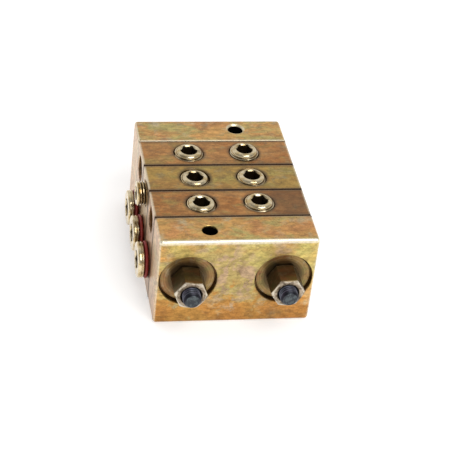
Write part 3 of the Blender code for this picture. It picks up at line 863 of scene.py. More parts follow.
def use_group(tree, name, **values):
    """Place a shared group. Its inputs are named in lower case with underscores."""
    node = tree.nodes.new("ShaderNodeGroup")
    node.node_tree = bpy.data.node_groups.get(name) or GROUP_BUILDERS[name](name)
    for key, value in values.items():
        feed(tree, node.inputs[key.replace("_", " ").capitalize()], value)
    return node.outputs


def new_group(name, inputs, outputs):
    """A shader node group with its sockets, and the sockets at its two ends."""
    tree = bpy.data.node_groups.new(name, "ShaderNodeTree")
    for label, kind in inputs.items():
        tree.interface.new_socket(name=label, in_out="INPUT", socket_type=kind)
    for label, kind in outputs.items():
        tree.interface.new_socket(name=label, in_out="OUTPUT", socket_type=kind)
    start = tree.nodes.new("NodeGroupInput")
    end = tree.nodes.new("NodeGroupOutput")
    return tree, start.outputs, end.inputs


def put_out(tree, out, **results):
    for key, result in results.items():
        tree.links.new(result, out[key.capitalize()])
    return tree


def rgba(colour):
    return (colour[0], colour[1], colour[2], 1.0)


PLACE = "NodeSocketVector"
NUMBER = "NodeSocketFloat"
COLOUR = "NodeSocketColor"


def build_bloom_group(name):
    """Cloudy chromate: four colours drift into each other, drawn out a little along X."""
    inputs = {"Vector": PLACE, "Offset": PLACE}
    inputs.update({"Main": COLOUR, "Green": COLOUR, "Rose": COLOUR, "Grey": COLOUR})
    tree, given, out = new_group(name, inputs, {"Color": COLOUR, "Cloud": NUMBER, "Spots": NUMBER})
    place = moved(tree, given["Vector"], given["Offset"])
    drawn = stretched(tree, place, (0.55, 1.0, 1.0))
    cloud = noise_of(tree, drawn, "cloud")
    patches = noise_of(tree, moved(tree, drawn, (0.31, 0.17, 0.53)), "patches")
    spots = noise_of(tree, moved(tree, place, (0.71, 0.43, 0.11)), "spots")
    colour = layer(tree, given["Main"], mask_of(tree, cloud, "rose"), given["Rose"])
    colour = layer(tree, colour, mask_of(tree, patches, "green"), given["Green"])
    colour = layer(tree, colour, mask_of(tree, spots, "grey"), given["Grey"])
    return put_out(tree, out, color=colour, cloud=cloud, spots=spots)


def build_grain_group(name):
    """Drawn or ground steel: long streaks along X, broad ones and fine ones."""
    outputs = {"Shade": COLOUR, "Streak": NUMBER, "Height": NUMBER}
    tree, given, out = new_group(name, {"Vector": PLACE}, outputs)
    broad = noise_of(tree, stretched(tree, given["Vector"], (130.0, 750.0, 750.0)), "broad streaks")
    fine = noise_of(tree, stretched(tree, given["Vector"], (260.0, 4200.0, 4200.0)), "fine streaks")
    streak = plus(tree, times(tree, broad, 0.6), times(tree, fine, 0.4))
    mottle = noise_of(tree, stretched(tree, given["Vector"], (0.6, 1.0, 1.0)), "mottle")
    lines = mask_of(tree, streak, "streak shade")
    shade = times(tree, lines, mask_of(tree, mottle, "mottle shade"))
    return put_out(tree, out, shade=join(tree, shade, shade, shade), streak=streak, height=fine)


def build_box_group(name):
    """Distance of a point on a box to the nearest edge of the box, and to its two joint faces."""
    inputs = {"Vector": PLACE, "Low": PLACE, "High": PLACE, "Joint low": NUMBER, "Joint high": NUMBER}
    tree, given, out = new_group(name, inputs, {"Edge": NUMBER, "Joint": NUMBER})
    above = vector_of(tree, "SUBTRACT", given["Vector"], given["Low"])
    below = vector_of(tree, "SUBTRACT", given["High"], given["Vector"])
    x, y, z = split(tree, vector_of(tree, "MINIMUM", above, below))
    least = math_of(tree, "MINIMUM", math_of(tree, "MINIMUM", x, y), z)
    most = math_of(tree, "MAXIMUM", math_of(tree, "MAXIMUM", x, y), z)
    total = plus(tree, plus(tree, x, y), z)
    middle = math_of(tree, "SUBTRACT", math_of(tree, "SUBTRACT", total, least), most)
    place_y = split(tree, given["Vector"])[1]
    after = math_of(tree, "SUBTRACT", place_y, given["Joint low"])
    before = math_of(tree, "SUBTRACT", given["Joint high"], place_y)
    return put_out(tree, out, edge=middle, joint=math_of(tree, "MINIMUM", after, before))


def build_repeat_group(name):
    """Place of a point relative to the nearest of several like features.

    They lie at both sides of X = 0 and repeat along Y.
    """
    tree, given, out = new_group(name, {"Vector": PLACE, "Centre": PLACE, "Pitch": NUMBER}, {"Vector": PLACE})
    x, y, z = split(tree, given["Vector"])
    centre_x, centre_y, centre_z = split(tree, given["Centre"])
    half = times(tree, given["Pitch"], 0.5)
    along = math_of(tree, "WRAP", math_of(tree, "SUBTRACT", y, centre_y), half, times(tree, half, -1.0))
    across = math_of(tree, "SUBTRACT", math_of(tree, "ABSOLUTE", x), centre_x)
    return put_out(tree, out, vector=join(tree, across, along, math_of(tree, "SUBTRACT", z, centre_z)))


def build_turned_group(name):
    """Turning marks: fine rings round an axis, for a vector with that axis already taken out."""
    outputs = {"Height": NUMBER, "Radius": NUMBER}
    tree, given, out = new_group(name, {"Vector": PLACE, "Spacing": NUMBER}, outputs)
    radius = vector_of(tree, "LENGTH", given["Vector"])
    turns = times(tree, math_of(tree, "DIVIDE", radius, given["Spacing"]), FULL_TURN)
    wobble = noise_of(tree, given["Vector"], "turning wobble")
    wave = math_of(tree, "SINE", plus(tree, turns, times(tree, wobble, 3.0)))
    return put_out(tree, out, height=math_of(tree, "MULTIPLY_ADD", wave, 0.5, 0.5), radius=radius)


def build_grime_group(name):
    """Speckled dirt and small dents."""
    outputs = {"Mask": NUMBER, "Height": NUMBER}
    tree, given, out = new_group(name, {"Vector": PLACE, "Amount": NUMBER}, outputs)
    specks = noise_of(tree, given["Vector"], "grime specks")
    clouds = noise_of(tree, moved(tree, given["Vector"], (0.2, 0.5, 0.8)), "grime clouds")
    both = times(tree, mask_of(tree, specks, "grime specks"), mask_of(tree, clouds, "grime clouds"))
    mask = math_of(tree, "MULTIPLY", both, given["Amount"], clamp=True)
    return put_out(tree, out, mask=mask, height=specks)


def build_scratch_group(name):
    """Sparse short scratches in two slanting directions."""
    tree, given, out = new_group(name, {"Vector": PLACE, "Amount": NUMBER}, {"Mask": NUMBER})
    masks = []
    for turn in (0.35, -0.6):
        mapping = tree.nodes.new("ShaderNodeMapping")
        mapping.inputs["Rotation"].default_value = (turn, turn * 0.7, turn)
        mapping.inputs["Scale"].default_value = (170.0, 2600.0, 2600.0)
        feed(tree, mapping.inputs["Vector"], given["Vector"])
        masks.append(mask_of(tree, noise_of(tree, mapping.outputs[0], "scratch lines"), "scratch lines"))
    area = mask_of(tree, noise_of(tree, given["Vector"], "scratched areas"), "scratched areas")
    lines = times(tree, math_of(tree, "MAXIMUM", *masks), area)
    return put_out(tree, out, mask=math_of(tree, "MULTIPLY", lines, given["Amount"], clamp=True))


GROUP_BUILDERS = {
    "Chromate bloom": build_bloom_group,
    "Mill grain": build_grain_group,
    "Box distances": build_box_group,
    "Nearest repeat": build_repeat_group,
    "Turning marks": build_turned_group,
    "Grime": build_grime_group,
    "Scratches": build_scratch_group,
}


def new_finish(name, metallic, roughness, coat=0.0):
    """A material with its shader, its node tree and its Object coordinates."""
    finish = bpy.data.materials.new(name)
    finish.use_nodes = True
    tree = finish.node_tree
    shader = tree.nodes["Principled BSDF"]
    shader.inputs["Metallic"].default_value = metallic
    shader.inputs["Roughness"].default_value = roughness
    shader.inputs["Coat Weight"].default_value = coat
    shader.inputs["Coat Roughness"].default_value = 0.3
    vector = tree.nodes.new("ShaderNodeTexCoord").outputs["Object"]
    return finish, tree, shader, vector


def close_finish(tree, shader, colour, rough, height, depth, strength):
    """Link the colour and the roughness, and a bump as deep as given in metres."""
    tree.links.new(colour, shader.inputs["Base Color"])
    tree.links.new(rough, shader.inputs["Roughness"])
    node = tree.nodes.new("ShaderNodeBump")
    node.inputs["Distance"].default_value = depth
    node.inputs["Strength"].default_value = strength
    feed(tree, node.inputs["Height"], height)
    tree.links.new(node.outputs["Normal"], shader.inputs["Normal"])


def chromate(tree, vector, offset, tones):
    """Outputs of the bloom in four tones."""
    colours = {key: rgba(tone) for key, tone in tones.items()}
    return use_group(tree, "Chromate bloom", vector=vector, offset=offset, **colours)


def gold_tones():
    colours = bpy.context.scene.divider_colours
    return {"main": colours.gold, "green": colours.green, "rose": colours.rose, "grey": colours.grey}


def place_near(tree, vector, centre, pitch, axes):
    """Place relative to the nearest of like features, along the given axes only."""
    near = use_group(tree, "Nearest repeat", vector=vector, centre=centre, pitch=pitch)["Vector"]
    return near, stretched(tree, near, tuple(1.0 if letter in axes else 0.0 for letter in "XYZ"))


def across_stud(tree, vector):
    """Place relative to the axis of the nearer stud."""
    return place_near(tree, vector, (STUD_CENTRE.x, 0.0, STUD_CENTRE.z), ONE_ROW, "XZ")[1]


def paint_front(tree, vector, colour, bloom):
    """Pale yellow heart of the front face, a rosy blush in it and brighter patches."""
    front = mask_of(tree, split(tree, vector)[1], "front face", FRONT_LOW.y)
    heart = vector_of(tree, "SUBTRACT", vector, (-0.005, 0, 0.030))
    reach = vector_of(tree, "LENGTH", stretched(tree, heart, (0.75, 0, 1.1)))
    spread = math_of(tree, "MULTIPLY_ADD", bloom["Cloud"], 0.07, reach)
    pale = times(tree, mask_of(tree, spread, "pale heart"), front)
    colour = layer(tree, colour, pale, rgba(bpy.context.scene.divider_colours.citron), 0.85)
    blush = times(tree, pale, mask_of(tree, bloom["Spots"], "blush"))
    colour = layer(tree, colour, blush, TONES["blush"], 0.75)
    glow = noise_of(tree, moved(tree, vector, (0.031, 0.0, 0.012)), "glow")
    glow = times(tree, mask_of(tree, glow, "glow"), front)
    return layer(tree, colour, glow, TONES["glow"], 0.6)


def paint_edges_and_joints(tree, vector, colour, box, ragged, edge_wear_and_highlight, joint_fade, recess):
    """Edges worn pale and partly painted with highlights, a painted highlight under the top edge of the front
    face, and stained joints with a seam of painted shade.
    """
    # Pale edges: partly worn metal, partly painted highlights.
    edge = mask_of(tree, plus(tree, box["Edge"], ragged), "edge wear and highlight")
    colour = layer(tree, colour, edge, TONES["worn edge and highlight"], edge_wear_and_highlight)
    if recess:
        # Painted highlight: a near white band on the front face just below its top edge.
        _, y, z = split(tree, vector)
        height = math_of(tree, "SUBTRACT", z, times(tree, ragged, 2.0))
        brow = mask_of(tree, height, "brow height", BLOCK_TOP)
        brow = times(tree, brow, mask_of(tree, y, "brow depth", FRONT_LOW.y))
        colour = layer(tree, colour, brow, TONES["brow highlight"], 0.8)
    joint = plus(tree, box["Joint"], times(tree, ragged, 1.2))
    # The brown joint stain is dirt; the near black seam right at the joint is painted shade.
    stain_and_shade = 1.0 - joint_fade
    colour = layer(tree, colour, mask_of(tree, joint, "joint stain"), TONES["joint stain"], 0.5 * stain_and_shade)
    return layer(tree, colour, mask_of(tree, joint, "painted joint seam shade"), TONES["painted joint seam shade"], stain_and_shade)


def paint_ports(tree, vector, colour, ragged):
    """Dark rings round the top ports, and shadow inside the side ports."""
    flat = place_near(tree, vector, (PORT_CENTRE.x, 0.0, BLOCK_TOP), SECTION_PITCH, "XY")[1]
    reach = plus(tree, vector_of(tree, "LENGTH", flat), times(tree, ragged, 2.0))
    colour = layer(tree, colour, mask_of(tree, reach, "port ring"), TONES["port ring"], 0.7)
    near, flat = place_near(tree, vector, (RIGHT_FACE, 0.0, SIDE_PORT_HEIGHT), SECTION_PITCH, "YZ")
    reach = vector_of(tree, "LENGTH", flat)
    within = mask_of(tree, reach, "within port", SIDE_PORT_RADIUS)
    sunk = mask_of(tree, split(tree, near)[0], "port shadow")
    return layer(tree, colour, times(tree, within, sunk), TONES["port inside"], 0.85)


def paint_hole(tree, vector, colour, place, ring_highlight):
    """Painted highlight on the ring round the mounting hole, and painted shade inside it."""
    reach = vector_of(tree, "LENGTH", stretched(tree, vector_of(tree, "SUBTRACT", vector, place), (1, 1, 0)))
    # Painted highlight on the chamfer ring round the mouth.
    colour = layer(tree, colour, mask_of(tree, reach, "hole ring highlight"), TONES["hole ring highlight"], ring_highlight)
    # Painted shade inside the hole, below the top face.
    within = mask_of(tree, reach, "within hole", MOUNT_HOLE_RADIUS)
    beneath = mask_of(tree, split(tree, vector)[2], "below top", BLOCK_TOP)
    return layer(tree, colour, times(tree, within, beneath), TONES["hole shade"])


def paint_recesses(tree, vector, colour):
    """Painted shade on the bores of the two nut recesses."""
    reach = vector_of(tree, "LENGTH", across_stud(tree, vector))
    inside = mask_of(tree, reach, "within recess", RECESS_RADIUS)
    deep = mask_of(tree, split(tree, vector)[1], "recess depth", FRONT_LOW.y)
    return layer(tree, colour, times(tree, inside, deep), TONES["recess bore shade"], 0.8)


def block_finish(
    name, box, joints, tones, offset, edge_wear_and_highlight, joint_fade, dim=0.0, ports=False, recess=False, hole=None
):
    """Chromated steel of one block. Its edges are worn pale and partly painted with highlights, its left side
    gets a painted reflection, its joints are stained with a seam of painted shade, and where it has them
    there are dark rings round its top ports and painted shade in its side ports and mounting hole. The front
    block also gets a painted highlight under its top edge and painted shade in its recesses.

    box holds the block's low and high corner. joints holds the Y of its joint faces, or -NO_JOINT
    and NO_JOINT for outer faces. hole holds the mounting hole's place and the strength of the painted
    highlight on its ring.
    """
    low, high = box
    finish, tree, shader, vector = new_finish(name, 0.9, 0.38, coat=0.12)
    x, _, z = split(tree, vector)
    bloom = chromate(tree, vector, offset, tones)
    colour = bloom["Color"]
    if recess:
        colour = paint_front(tree, vector, colour, bloom)
    band = mask_of(tree, plus(tree, z, times(tree, bloom["Spots"], 0.050)), "low band")
    colour = layer(tree, colour, band, rgba(bpy.context.scene.divider_colours.orange), 0.75)
    # Painted reflection: the left side is laid paler, as a pale room looks in it at a grazing angle.
    left_sheen = mask_of(tree, x, "left face sheen", low.x)
    colour = layer(tree, colour, left_sheen, TONES["painted left sheen"], 0.5)

    grain = use_group(tree, "Mill grain", vector=vector)
    colour = mix_of(tree, 1.0, colour, grain["Shade"], "MULTIPLY")
    colour = shade_by(tree, colour, mask_of(tree, z, "foot shade"))
    smudge = mask_of(tree, noise_of(tree, moved(tree, vector, offset), "smudges"), "smudges")
    colour = layer(tree, colour, smudge, TONES["smudge"], 0.5)
    if dim:
        colour = layer(tree, colour, mask_of(tree, x, "dim side"), TONES["dim side"], dim)

    scratches = use_group(tree, "Scratches", vector=vector, amount=0.6)
    colour = layer(tree, colour, scratches["Mask"], TONES["scratch"])
    grime = use_group(tree, "Grime", vector=vector, amount=0.75)
    colour = layer(tree, colour, grime["Mask"], TONES["block grime"])
    ragged = math_of(tree, "MULTIPLY_ADD", grime["Height"], 0.0006, -0.0003)
    joint_low, joint_high = joints
    distances = use_group(
        tree, "Box distances", vector=vector, low=low, high=high, joint_low=joint_low, joint_high=joint_high
    )
    colour = paint_edges_and_joints(tree, vector, colour, distances, ragged, edge_wear_and_highlight, joint_fade, recess)
    if ports:
        colour = paint_ports(tree, vector, colour, ragged)
    if hole:
        colour = paint_hole(tree, vector, colour, *hole)
    if recess:
        colour = paint_recesses(tree, vector, colour)

    rough = math_of(tree, "MULTIPLY_ADD", grain["Streak"], 0.16, 0.30)
    rough = plus(tree, rough, times(tree, grime["Mask"], 0.3))
    height = math_of(tree, "MULTIPLY_ADD", grain["Height"], 0.6, times(tree, grime["Height"], 0.4))
    height = math_of(tree, "SUBTRACT", height, times(tree, scratches["Mask"], 0.8))
    close_finish(tree, shader, colour, rough, height, 0.00003, 0.7)
    return finish


def plug_finish(name, axes, centre, thread_radius, socket_radius):
    """Bright steel of a plug: turning marks on its face, painted shade in its socket, and grime and painted
    shade in its thread grooves.
    """
    finish, tree, shader, vector = new_finish(name, 1.0, 0.26)
    flat = place_near(tree, vector, centre, SECTION_PITCH, axes)[1]
    marks = use_group(tree, "Turning marks", vector=flat, spacing=0.00035)
    grime = use_group(tree, "Grime", vector=vector, amount=0.8)
    depth = tree.nodes.new("ShaderNodeAttribute")
    depth.attribute_name = "depth_below_face"
    below = depth.outputs["Fac"]
    tint = noise_of(tree, vector, "plug tarnish")
    colour = rgba(bpy.context.scene.divider_colours.plug_steel)
    colour = layer(tree, colour, mask_of(tree, tint, "plug tarnish"), TONES["plug tarnish"])
    stained = mask_of(tree, noise_of(tree, vector, "plug stains"), "plug stains")
    colour = layer(tree, colour, stained, TONES["plug stain"], 0.65)
    # Grime and painted shade in the thread grooves below the rim.
    groove = mask_of(tree, marks["Radius"], "thread groove", thread_radius)
    threaded = times(tree, groove, mask_of(tree, below, "below rim"))
    colour = layer(tree, colour, threaded, TONES["plug groove grime and shade"], 0.8)
    # Painted shade inside the socket, below its mouth.
    inside = mask_of(tree, marks["Radius"], "within socket", socket_radius)
    socket = times(tree, inside, mask_of(tree, below, "below mouth"))
    colour = layer(tree, colour, socket, TONES["plug socket shade"], 0.93)
    colour = layer(tree, colour, grime["Mask"], TONES["plug grime"])
    rough = math_of(tree, "MULTIPLY_ADD", tint, 0.2, 0.10)
    rough = plus(tree, rough, times(tree, grime["Mask"], 0.4))
    rough = plus(tree, rough, times(tree, socket, 0.35))
    height = math_of(tree, "MULTIPLY_ADD", marks["Height"], 0.5, times(tree, grime["Height"], 0.5))
    close_finish(tree, shader, colour, rough, height, 0.00002, 0.5)
    return finish


def nut_finish():
    """Olive chromate with a pale chipped end face, partly painted light, and painted highlights in patches on
    its rim.
    """
    finish, tree, shader, vector = new_finish("olive_nut_steel", 0.9, 0.38)
    tones = {"main": bpy.context.scene.divider_colours.olive, **NUT_TONES}
    bloom = chromate(tree, stretched(tree, vector, (1.6, 2.2, 2.2)), (0.4, 0.1, 0.9), tones)
    marks = use_group(tree, "Turning marks", vector=across_stud(tree, vector), spacing=0.0005)
    outer_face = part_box("long_nut_right")[0].y
    # The end face is laid paler than the flanks: partly its chipped finish, partly painted light where it
    # faces the lamp.
    face = mask_of(tree, split(tree, vector)[1], "nut end face", outer_face)
    chips = mask_of(tree, noise_of(tree, vector, "nut chips"), "nut chips")
    pale = mix_of(tree, chips, TONES["nut face dark"], TONES["nut face pale"])
    colour = layer(tree, bloom["Color"], face, pale, 0.8)
    # Painted highlights in patches on the rim of the end face.
    rubbed_and_highlit = times(tree, face, mask_of(tree, marks["Radius"], "nut rim"))
    rubbed_and_highlit = times(tree, rubbed_and_highlit, mask_of(tree, bloom["Spots"], "rim highlight patches"))
    colour = layer(tree, colour, rubbed_and_highlit, TONES["nut rim highlight"], 0.75)
    colour = layer(tree, colour, mask_of(tree, marks["Radius"], "nut mouth"), TONES["nut mouth"], 0.8)
    grime = use_group(tree, "Grime", vector=vector, amount=0.9)
    colour = layer(tree, colour, grime["Mask"], TONES["nut grime"])
    rough = math_of(tree, "MULTIPLY_ADD", bloom["Cloud"], 0.25, 0.25)
    height = plus(tree, times(tree, marks["Height"], face), grime["Height"])
    close_finish(tree, shader, colour, rough, height, 0.00003, 0.6)
    return finish


def washer_finish():
    """Tan zinc with broad rings, and painted shade where the nut stands and round its foot."""
    finish, tree, shader, vector = new_finish("tan_washer_zinc", 0.9, 0.38)
    marks = use_group(tree, "Turning marks", vector=across_stud(tree, vector), spacing=0.0011)
    bloom = chromate(tree, stretched(tree, vector, (2.0, 1.5, 1.5)), (0.9, 0.4, 0.2), WASHER_TONES)
    colour = shade_by(tree, bloom["Color"], math_of(tree, "MULTIPLY_ADD", marks["Height"], 0.22, 0.86))
    # Painted shade round the foot of the nut.
    colour = layer(tree, colour, mask_of(tree, marks["Radius"], "shade round nut"), TONES["shade round nut"], 0.8)
    grime = use_group(tree, "Grime", vector=vector, amount=0.9)
    colour = layer(tree, colour, grime["Mask"], TONES["washer grime"])
    rough = math_of(tree, "MULTIPLY_ADD", grime["Mask"], 0.3, 0.34)
    close_finish(tree, shader, colour, rough, plus(tree, marks["Height"], grime["Height"]), 0.00004, 0.6)
    return finish


def stud_finish():
    """Blued steel: a painted highlight on the crests, painted shade in the roots, a black cone and a rubbed
    end face.
    """
    finish, tree, shader, vector = new_finish("dark_stud_steel", 0.85, 0.36)
    tones = {"main": bpy.context.scene.divider_colours.stud_blue, **STUD_TONES}
    bloom = chromate(tree, stretched(tree, vector, (5.0, 3.0, 3.0)), (0.2, 0.8, 0.5), tones)
    radius = vector_of(tree, "LENGTH", across_stud(tree, vector))
    y = split(tree, vector)[1]
    end_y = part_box("tie_stud_right")[0].y
    # Painted highlight on the thread crests.
    crest = mask_of(tree, radius, "stud crest highlight", STUD_RADIUS)
    colour = layer(tree, bloom["Color"], crest, TONES["stud crest highlight"])
    # Painted shade in the thread roots, behind the end face.
    root = mask_of(tree, radius, "stud root shade", STUD_RADIUS)
    root = times(tree, root, mask_of(tree, y, "behind stud end", end_y))
    colour = layer(tree, colour, root, TONES["stud root shade"])
    grime = use_group(tree, "Grime", vector=vector, amount=1.0)
    colour = layer(tree, colour, grime["Mask"], TONES["stud grime"])
    cone = mask_of(tree, y, "stud cone", end_y + STUD_POINT)
    colour = layer(tree, colour, cone, TONES["stud cone"], 0.8)
    rubbed_and_highlit = mask_of(tree, bloom["Spots"], "rubbed end")
    end_face = times(tree, mask_of(tree, y, "stud end", end_y), rubbed_and_highlit)
    colour = layer(tree, colour, end_face, TONES["stud end"])
    rough = math_of(tree, "MULTIPLY_ADD", bloom["Cloud"], 0.3, 0.20)
    close_finish(tree, shader, colour, rough, grime["Height"], 0.00003, 0.6)
    return finish


def seal_finish():
    finish, tree, shader, vector = new_finish("red_seal", 0.0, 0.5)
    grime = use_group(tree, "Grime", vector=vector, amount=0.8)
    fibre = noise_of(tree, vector, "seal fibre")
    red = rgba(bpy.context.scene.divider_colours.seal_red)
    colour = layer(tree, red, mask_of(tree, fibre, "seal fibre"), TONES["seal fibre"])
    colour = layer(tree, colour, grime["Mask"], TONES["seal grime"])
    rough = math_of(tree, "MULTIPLY_ADD", fibre, 0.35, 0.35)
    close_finish(tree, shader, colour, rough, fibre, 0.00006, 0.6)
    return finish


def spool_finish():
    finish, tree, shader, vector = new_finish("ground_spool_steel", 1.0, 0.18)
    lines = noise_of(tree, stretched(tree, vector, (4200.0, 160.0, 160.0)), "spool lines")
    colour = mix_of(tree, lines, TONES["spool dark"], TONES["spool bright"])
    rough = math_of(tree, "MULTIPLY_ADD", lines, 0.14, 0.10)
    close_finish(tree, shader, colour, rough, lines, 0.000008, 0.5)
    return finish


def rubber_finish():
    finish, tree, shader, vector = new_finish("black_rubber", 0.0, 0.6)
    skin = noise_of(tree, vector, "rubber skin")
    colour = mix_of(tree, skin, TONES["rubber dark"], TONES["rubber bright"])
    rough = math_of(tree, "MULTIPLY_ADD", skin, 0.3, 0.45)
    close_finish(tree, shader, colour, rough, skin, 0.00002, 0.5)
    return finish


# Cutters that several blocks share.


def stud_hole_cutters(name, low_y, high_y, radius=STUD_HOLE_RADIUS):
    cutters = []
    for side, sign in SIDES.items():
        x = sign * STUD_CENTRE.x
        start = (x, low_y - SPARE, STUD_CENTRE.z)
        end = (x, high_y + SPARE, STUD_CENTRE.z)
        cutters.append(add_drill(f"{name}_stud_hole_{side}", start, end, radius, BORE_STEPS))
    return cutters


def seat_cutters(name, face_y):
    """O-ring seats in the face at the front of a block."""
    cutters = []
    for x, z in (
        (0.0, GALLERY_CENTRE.z),
        (-SIGNAL_CENTRE.x, SIGNAL_CENTRE.z),
        (SIGNAL_CENTRE.x, SIGNAL_CENTRE.z),
    ):
        start = (x, face_y - SPARE, z)
        end = (x, face_y + O_RING_SEAT_DEPTH, z)
        cutters.append(add_drill(f"{name}_seat", start, end, O_RING_SEAT_RADIUS, BORE_STEPS))
    return cutters


def crossover_cutters(name, face_y, depth):
    """Two drillings that meet inside an end block."""
    cutters = []
    meeting = Vector((0, face_y + depth, SIGNAL_CENTRE.z))
    for sign in SIDES.values():
        start = Vector((sign * SIGNAL_CENTRE.x, face_y, SIGNAL_CENTRE.z))
        reach = (meeting - start).normalized() * SPARE
        cutters.append(add_drill(f"{name}_crossover", start - reach, meeting, SIGNAL_DRILL_RADIUS))
    return cutters


def mount_hole_cutter(name, place, mouth):
    """A through hole. Its top mouth has its own chamfer."""
    profile = through_profile(MOUNT_HOLE_RADIUS, 0, BLOCK_TOP, CHAMFER, mouth)
    cutter = add_turned(f"{name}_mount_hole", profile, BORE_STEPS)
    settle(cutter, place)
    return cutter


class DIVIDER_OT_front_block(bpy.types.Operator):
    """Front end block with its two nut recesses and one mounting hole"""

    bl_idname = "divider.front_block"
    bl_label = "Front end block"

    def execute(self, context):
        sizes = context.scene.divider_sizes
        block = add_box("front_block_body", FRONT_LOW, FRONT_HIGH)
        round_box(block, sizes.end_rounding, sizes.section_rounding, joint_side=1)
        cutters = stud_hole_cutters("front", FRONT_LOW.y, FRONT_HIGH.y)
        profile = hole_profile(RECESS_RADIUS, RECESS_DEPTH, RECESS_MOUTH, point=0)
        for side, sign in SIDES.items():
            recess = add_turned(f"recess_{side}", profile, FINE_STEPS)
            settle(recess, (sign * STUD_CENTRE.x, FRONT_LOW.y, STUD_CENTRE.z), "front")
            cutters.append(recess)
        cutters.append(mount_hole_cutter("front", FRONT_MOUNT_HOLE, mouth=0.0002))
        cutters += crossover_cutters("front", FRONT_HIGH.y, -CROSSOVER_DEPTH)
        cut(block, cutters)
        finish_shape(block)
        finish = block_finish(
            "yellow_zinc_front",
            box=(FRONT_LOW, FRONT_HIGH),
            joints=(-NO_JOINT, FRONT_HIGH.y),
            tones=gold_tones(),
            offset=(0.0, 0.0, 0.0),
            edge_wear_and_highlight=0.45,
            joint_fade=0.4,
            recess=True,
            hole=(FRONT_MOUNT_HOLE, 0.0),
        )
        hand_over(block, "front_end_block", finish)
        return {"FINISHED"}


class DIVIDER_OT_rear_block(bpy.types.Operator):
    """Rear inlet block with its tapped inlet port, tapped stud holes and one mounting hole"""

    bl_idname = "divider.rear_block"
    bl_label = "Rear inlet block"

    def execute(self, context):
        sizes = context.scene.divider_sizes
        block = add_box("rear_block_body", REAR_LOW, REAR_HIGH)
        round_box(block, sizes.end_rounding, sizes.section_rounding, joint_side=-1)
        inlet = (0, REAR_HIGH.y, GALLERY_CENTRE.z)
        cutters = threaded_hole(
            "inlet", INLET_PORT_RADIUS, sizes.plug_pitch, INLET_PORT_DEPTH, INLET_MOUTH, inlet, "rear"
        )
        start = (0, REAR_LOW.y - SPARE, GALLERY_CENTRE.z)
        end = (0, REAR_HIGH.y - INLET_PORT_DEPTH, GALLERY_CENTRE.z)
        cutters.append(add_drill("inlet_gallery", start, end, GALLERY_RADIUS))
        cutters += stud_hole_cutters("rear", REAR_LOW.y, REAR_HIGH.y, STUD_THREAD_RADIUS)
        depth = REAR_HIGH.y - REAR_LOW.y
        crest = STUD_THREAD_RADIUS + THREAD_HALF_DEPTH
        root = STUD_THREAD_RADIUS - THREAD_HALF_DEPTH
        for side, sign in SIDES.items():
            thread = add_thread(f"stud_thread_{side}", crest, root, sizes.stud_pitch, -depth - SPARE, SPARE)
            settle(thread, (sign * STUD_CENTRE.x, REAR_HIGH.y, STUD_CENTRE.z), "rear")
            cutters.append(thread)
        cutters.append(mount_hole_cutter("rear", REAR_MOUNT_HOLE, mouth=0.0008))
        cutters += seat_cutters("rear", REAR_LOW.y)
        cutters += crossover_cutters("rear", REAR_LOW.y, CROSSOVER_DEPTH)
        cut(block, cutters)
        finish_shape(block)
        finish = block_finish(
            "yellow_zinc_rear",
            box=(REAR_LOW, REAR_HIGH),
            joints=(REAR_LOW.y, NO_JOINT),
            tones=gold_tones(),
            offset=(0.23, 0.61, 0.08),
            edge_wear_and_highlight=0.7,
            joint_fade=0.9,
            hole=(REAR_MOUNT_HOLE, 0.8),
        )
        hand_over(block, "rear_inlet_block", finish)
        return {"FINISHED"}


